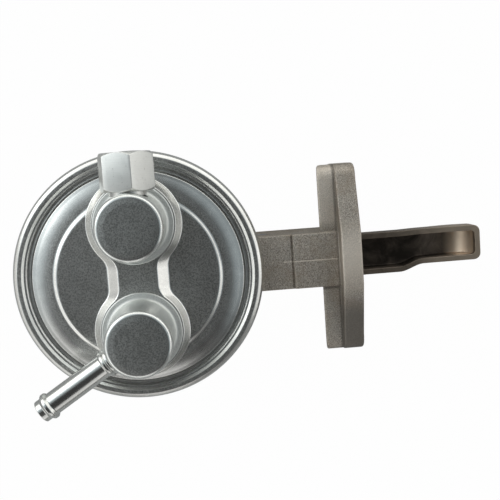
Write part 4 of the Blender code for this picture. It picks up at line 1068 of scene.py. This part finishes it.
def coil(name, node, wire, turns, material):
    """Screws a round wire into a compression spring with closed ends, in the place of a node.
    """
    low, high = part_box(node)
    centre = (low + high) / 2
    radius = (high.x - low.x) / 2 - wire
    steps, sides = 28 * turns, 10
    clear()
    bpy.ops.mesh.primitive_circle_add(
        vertices=sides, radius=wire, location=(centre.x, centre.y, low.z + wire),
        rotation=(QUARTER_TURN, 0.0, 0.0))
    piece = bpy.context.object
    piece.name = name
    bpy.ops.object.transform_apply(location=False, rotation=True, scale=False)
    edit(piece)
    bpy.ops.transform.translate(value=(radius, 0.0, 0.0))
    bpy.ops.object.mode_set(mode="OBJECT")
    travel = high.z - low.z - 2 * wire
    finish_with(piece, "SCREW", angle=math.tau * turns, screw_offset=travel, steps=steps, render_steps=steps,
                axis="Z", use_smooth_shade=True)
    apply_place(piece)

    closed = 0.9 / turns        # share of the wire in each closed end
    flat = 2.1 * wire           # height of a closed end
    for vertex in piece.data.vertices:
        share = (vertex.index // sides) / steps
        rise = flat * held(share / closed) + (travel - 2 * flat) * held((share - closed) / (1 - 2 * closed))
        rise += flat * held((share - 1 + closed) / closed)
        vertex.co = vertex.co + UP * (rise - travel * share)
    edit(piece, kind="EDGE")
    bpy.ops.mesh.fill_holes(sides=sides + 2)
    face_out(piece)
    settle(piece, 50, "root", material, node)
    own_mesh(piece)


class FUELPUMP_OT_springs(bpy.types.Operator):
    """Models the rocker, diaphragm and valve springs"""
    bl_idname = "fuel_pump.springs"
    bl_label = "Springs"

    def execute(self, context):
        steel = bright_steel("spring_wire", DARK_STEEL, 0.28, centre=NOWHERE)
        coil("rocker_spring_coil", "rocker_spring", 0.0008, 5, steel)
        coil("diaphragm_spring_coil", "diaphragm_spring", 0.0009, 4, steel)
        coil("outlet_spring_coil", "outlet_valve_spring", 0.00028, 4, steel)
        coil("inlet_spring_coil", "inlet_valve_spring", 0.00028, 4, steel)
        return {"FINISHED"}


class FUELPUMP_OT_diaphragm(bpy.types.Operator):
    """Models the rubbered fabric diaphragm: a middle that moves with the rod and a curved outer ring on the
    body
    """
    bl_idname = "fuel_pump.diaphragm"
    bl_label = "Diaphragm"

    def execute(self, context):
        low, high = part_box("diaphragm")
        rim_z, thick, dome = low.z - MID_Z, 0.0008, 0.0027
        hole_r, middle_r, bend_r, rim_r = 0.0028, 0.0288, 0.0450, (high.y - low.y) / 2
        cloth = rubbered_fabric("rubbered_cloth", (0.10, 0.055, 0.03))
        flat = rim_z + dome
        disc_r = middle_r - 0.00005      # just clear of the ring
        disc = rectangle(hole_r, disc_r, flat, flat + thick)
        middle = turned("diaphragm_middle", disc, ring=True)
        settle(middle, 0, "rod", cloth, "diaphragm")
        under = [(middle_r + (bend_r - middle_r) * share, flat - dome * ease(share))
                 for share in spaced(0.0, 1.0, 12)]
        under.append((rim_r, rim_z))
        over = [(radius, height + thick) for radius, height in reversed(under)]
        ring = turned("diaphragm_ring", under + over, ring=True)
        settle(ring, 40, "root", cloth, "diaphragm")
        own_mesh(ring)
        return {"FINISHED"}


class FUELPUMP_OT_inner_finishes(bpy.types.Operator):
    """Gives the model's own inner pieces their finishes"""
    bl_idname = "fuel_pump.inner_finishes"
    bl_label = "Inner finishes"

    def execute(self, context):
        colours = context.scene.fuel_pump.finishes
        finishes = {
            "oiled_arm_steel": oiled_steel("blackened_link", colours.arm, colours.arm_edge),
            "bright_plate": bright_steel("bright_plate_steel", (0.55, 0.55, 0.52), 0.33),
            "spring_steel": bright_steel("turned_steel", DARK_STEEL, 0.30),
            "black_rubber": rubber("moulded_rubber", (0.022, 0.021, 0.020)),
            "valve_brass": bright_steel("stamped_brass", (0.62, 0.45, 0.18), 0.30),
        }
        for name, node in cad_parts.items():
            if node.hide_render:
                continue
            for slot in node.material_slots:
                kind = slot.material.name.split(".")[0]
                if kind not in finishes:
                    raise RuntimeError(f"{name} has no finish for {kind}")
                slot.material = finishes[kind]
        return {"FINISHED"}


# ---------------------------------------------------------------- studio

PICTURE = 500.0                          # pixels along each side of the photograph
FOCAL_PIXELS = 834.3                     # focal length that fits it, in those pixels
SENSOR = 36.0                            # millimetres
CAMERA = Vector((-0.06904, 0.04420, 0.39133))
CAMERA_TURN = tuple(math.radians(angle) for angle in (-5.674, -3.724, -4.017))
FLOOR_Z = -0.0030                        # just under the lowest point
FLOOR_GREY, FLOOR_GLOW = 0.62, 0.985     # its own grey, and how much of a camera ray sees white
WORLD_STRENGTH, WORLD_SEEN = 1.6, 0.625  # their product is the white behind the part
SKY = (                                  # grey of the studio's light from the horizon up
    (0.0, (0.26, 0.26, 0.26, 1.0)), (0.10, (0.55, 0.55, 0.54, 1.0)), (0.24, (0.90, 0.90, 0.88, 1.0)),
    (0.48, (0.90, 0.90, 0.88, 1.0)), (0.62, (0.28, 0.28, 0.28, 1.0)),
    (0.78, (0.055, 0.055, 0.055, 1.0)), (1.0, (0.026, 0.026, 0.026, 1.0)),
)
LAMP_AIM = Vector((-0.06, 0.0, 0.03))
LAMPS = (                                # name, place, width, watts, tint
    ("left_softbox", (-1.00, 0.55, 0.62), 0.90, 2.7, (0.97, 0.99, 1.0)),
    ("right_softbox", (1.05, -0.30, 0.52), 0.80, 1.3, (1.0, 0.99, 0.97)),
    ("front_softbox", (-0.10, -1.05, 0.55), 0.80, 1.2, (1.0, 0.99, 0.98)),
)


def lamp(name, place, size, power, tint):
    """A round softbox turned towards the part."""
    clear()
    way = (LAMP_AIM - Vector(place)).to_track_quat("-Z", "Y").to_euler()
    bpy.ops.object.light_add(type="AREA", location=place, rotation=way)
    made = bpy.context.object
    made.name = name
    made.data.shape = "DISK"
    made.data.size = size
    made.data.energy = power
    made.data.color = tint


class FUELPUMP_OT_stage(bpy.types.Operator):
    """Sets up the floor, the soft studio light and the camera"""
    bl_idname = "fuel_pump.stage"
    bl_label = "Studio"

    def execute(self, context):
        clear()
        bpy.ops.mesh.primitive_plane_add(size=6.0, location=(PUMP_X, 0.0, FLOOR_Z))
        floor = bpy.context.object
        floor.name = "studio_floor"
        apply_place(floor)
        made = bpy.data.materials.new("studio_white")
        made.use_nodes = True
        nodes = Nodes(made.node_tree)
        seen = nodes.math("MAXIMUM", nodes.node("ShaderNodeLightPath", output="Is Camera Ray"),
                          nodes.node("ShaderNodeLightPath", output="Is Transmission Ray"))
        plain = nodes.node("ShaderNodeBsdfDiffuse", {}, {"Color": (FLOOR_GREY,) * 3 + (1.0,)})
        glow = nodes.node("ShaderNodeEmission", {}, {"Color": (1.0, 1.0, 1.0, 1.0), "Strength": 1.0})
        mixed = nodes.node("ShaderNodeMixShader", {}, {0: seen * FLOOR_GLOW, 1: plain, 2: glow})
        nodes.tree.links.new(mixed.socket, made.node_tree.nodes["Material Output"].inputs["Surface"])
        floor.data.materials.append(made)

        world = bpy.data.worlds.new("studio_world")
        context.scene.world = world
        world.use_nodes = True
        sky = Nodes(world.node_tree)
        way = sky.node("ShaderNodeTexCoord", {}, {}, "Generated")
        x, y, z = sky.parts(way)
        lean = x * -0.83 + y * 0.56      # towards the left and the back
        light = sky.node("ShaderNodeValToRGB", {"stops": SKY}, {0: z - lean * 0.12})
        dark = sky.rise(x * 0.53 - y * 0.85, 0.30, 0.72) * 0.85
        back = sky.rise(y, 0.25, 0.65) * sky.band(z, -0.10, 0.58, 0.10)
        right = sky.rise(x * 0.94 + y * 0.34, 0.22, 0.50) * sky.band(z, 0.55, 0.90, 0.06)
        left = sky.rise(lean, 0.24, 0.46) * 0.5 + sky.rise(lean, 0.44, 0.66) * 0.5
        seen = sky.node("ShaderNodeLightPath", output="Is Camera Ray")
        light = sky.layered(
            light, (dark, (0.03, 0.03, 0.03, 1.0)), (back, (1.0, 1.0, 0.97, 1.0)),
            (right, (0.21, 0.24, 0.255, 1.0)),
            (left * sky.band(z, 0.50, 0.94, 0.04), (0.44, 0.495, 0.52, 1.0)),
            (seen, (WORLD_SEEN,) * 3 + (1.0,)))
        background = world.node_tree.nodes["Background"]
        sky.tree.links.new(light.socket, background.inputs["Color"])
        background.inputs["Strength"].default_value = WORLD_STRENGTH

        for softbox in LAMPS:
            lamp(*softbox)

        clear()
        bpy.ops.object.camera_add(location=CAMERA, rotation=CAMERA_TURN)
        camera = bpy.context.object
        camera.name = "studio_camera"
        camera.data.sensor_width = SENSOR
        camera.data.lens = SENSOR * FOCAL_PIXELS / PICTURE
        camera.data.clip_start = 0.01
        context.scene.camera = camera
        context.scene.view_settings.view_transform = "Standard"
        return {"FINISHED"}


class FUELPUMP_PT_panel(bpy.types.Panel):
    """Lists the pump's pieces and settings"""
    bl_idname = "FUELPUMP_PT_panel"
    bl_label = "Fuel pump"
    bl_space_type = "VIEW_3D"
    bl_region_type = "UI"
    bl_category = "Fuel pump"

    def draw(self, context):
        for step in STEPS:
            self.layout.operator(step.bl_idname)
        settings = context.scene.fuel_pump
        for part in PumpSettings.__annotations__:
            sizes = getattr(settings, part)
            box = self.layout.box()
            for name in sizes.__annotations__:
                box.prop(sizes, name)


GROUPS = (CoverSizes, CupSizes, PortSizes, CastingSizes, ArmSizes, Finishes, PumpSettings)
STEPS = (FUELPUMP_OT_casting, FUELPUMP_OT_cover, FUELPUMP_OT_cups, FUELPUMP_OT_outlet, FUELPUMP_OT_inlet,
         FUELPUMP_OT_arm, FUELPUMP_OT_springs, FUELPUMP_OT_diaphragm, FUELPUMP_OT_inner_finishes,
         FUELPUMP_OT_stage)


def register():
    for kind in GROUPS + STEPS + (FUELPUMP_PT_panel,):
        bpy.utils.register_class(kind)
    bpy.types.Scene.fuel_pump = bpy.props.PointerProperty(type=PumpSettings)


def unregister():
    del bpy.types.Scene.fuel_pump
    for kind in reversed(GROUPS + STEPS + (FUELPUMP_PT_panel,)):
        bpy.utils.unregister_class(kind)


def main():
    register()
    bpy.ops.fuel_pump.casting()
    bpy.ops.fuel_pump.cover()
    bpy.ops.fuel_pump.cups()
    bpy.ops.fuel_pump.outlet()
    bpy.ops.fuel_pump.inlet()
    bpy.ops.fuel_pump.arm()
    bpy.ops.fuel_pump.springs()
    bpy.ops.fuel_pump.diaphragm()
    bpy.ops.fuel_pump.inner_finishes()
    bpy.ops.fuel_pump.stage()
    clear()


if __name__ == "__main__":
    main()
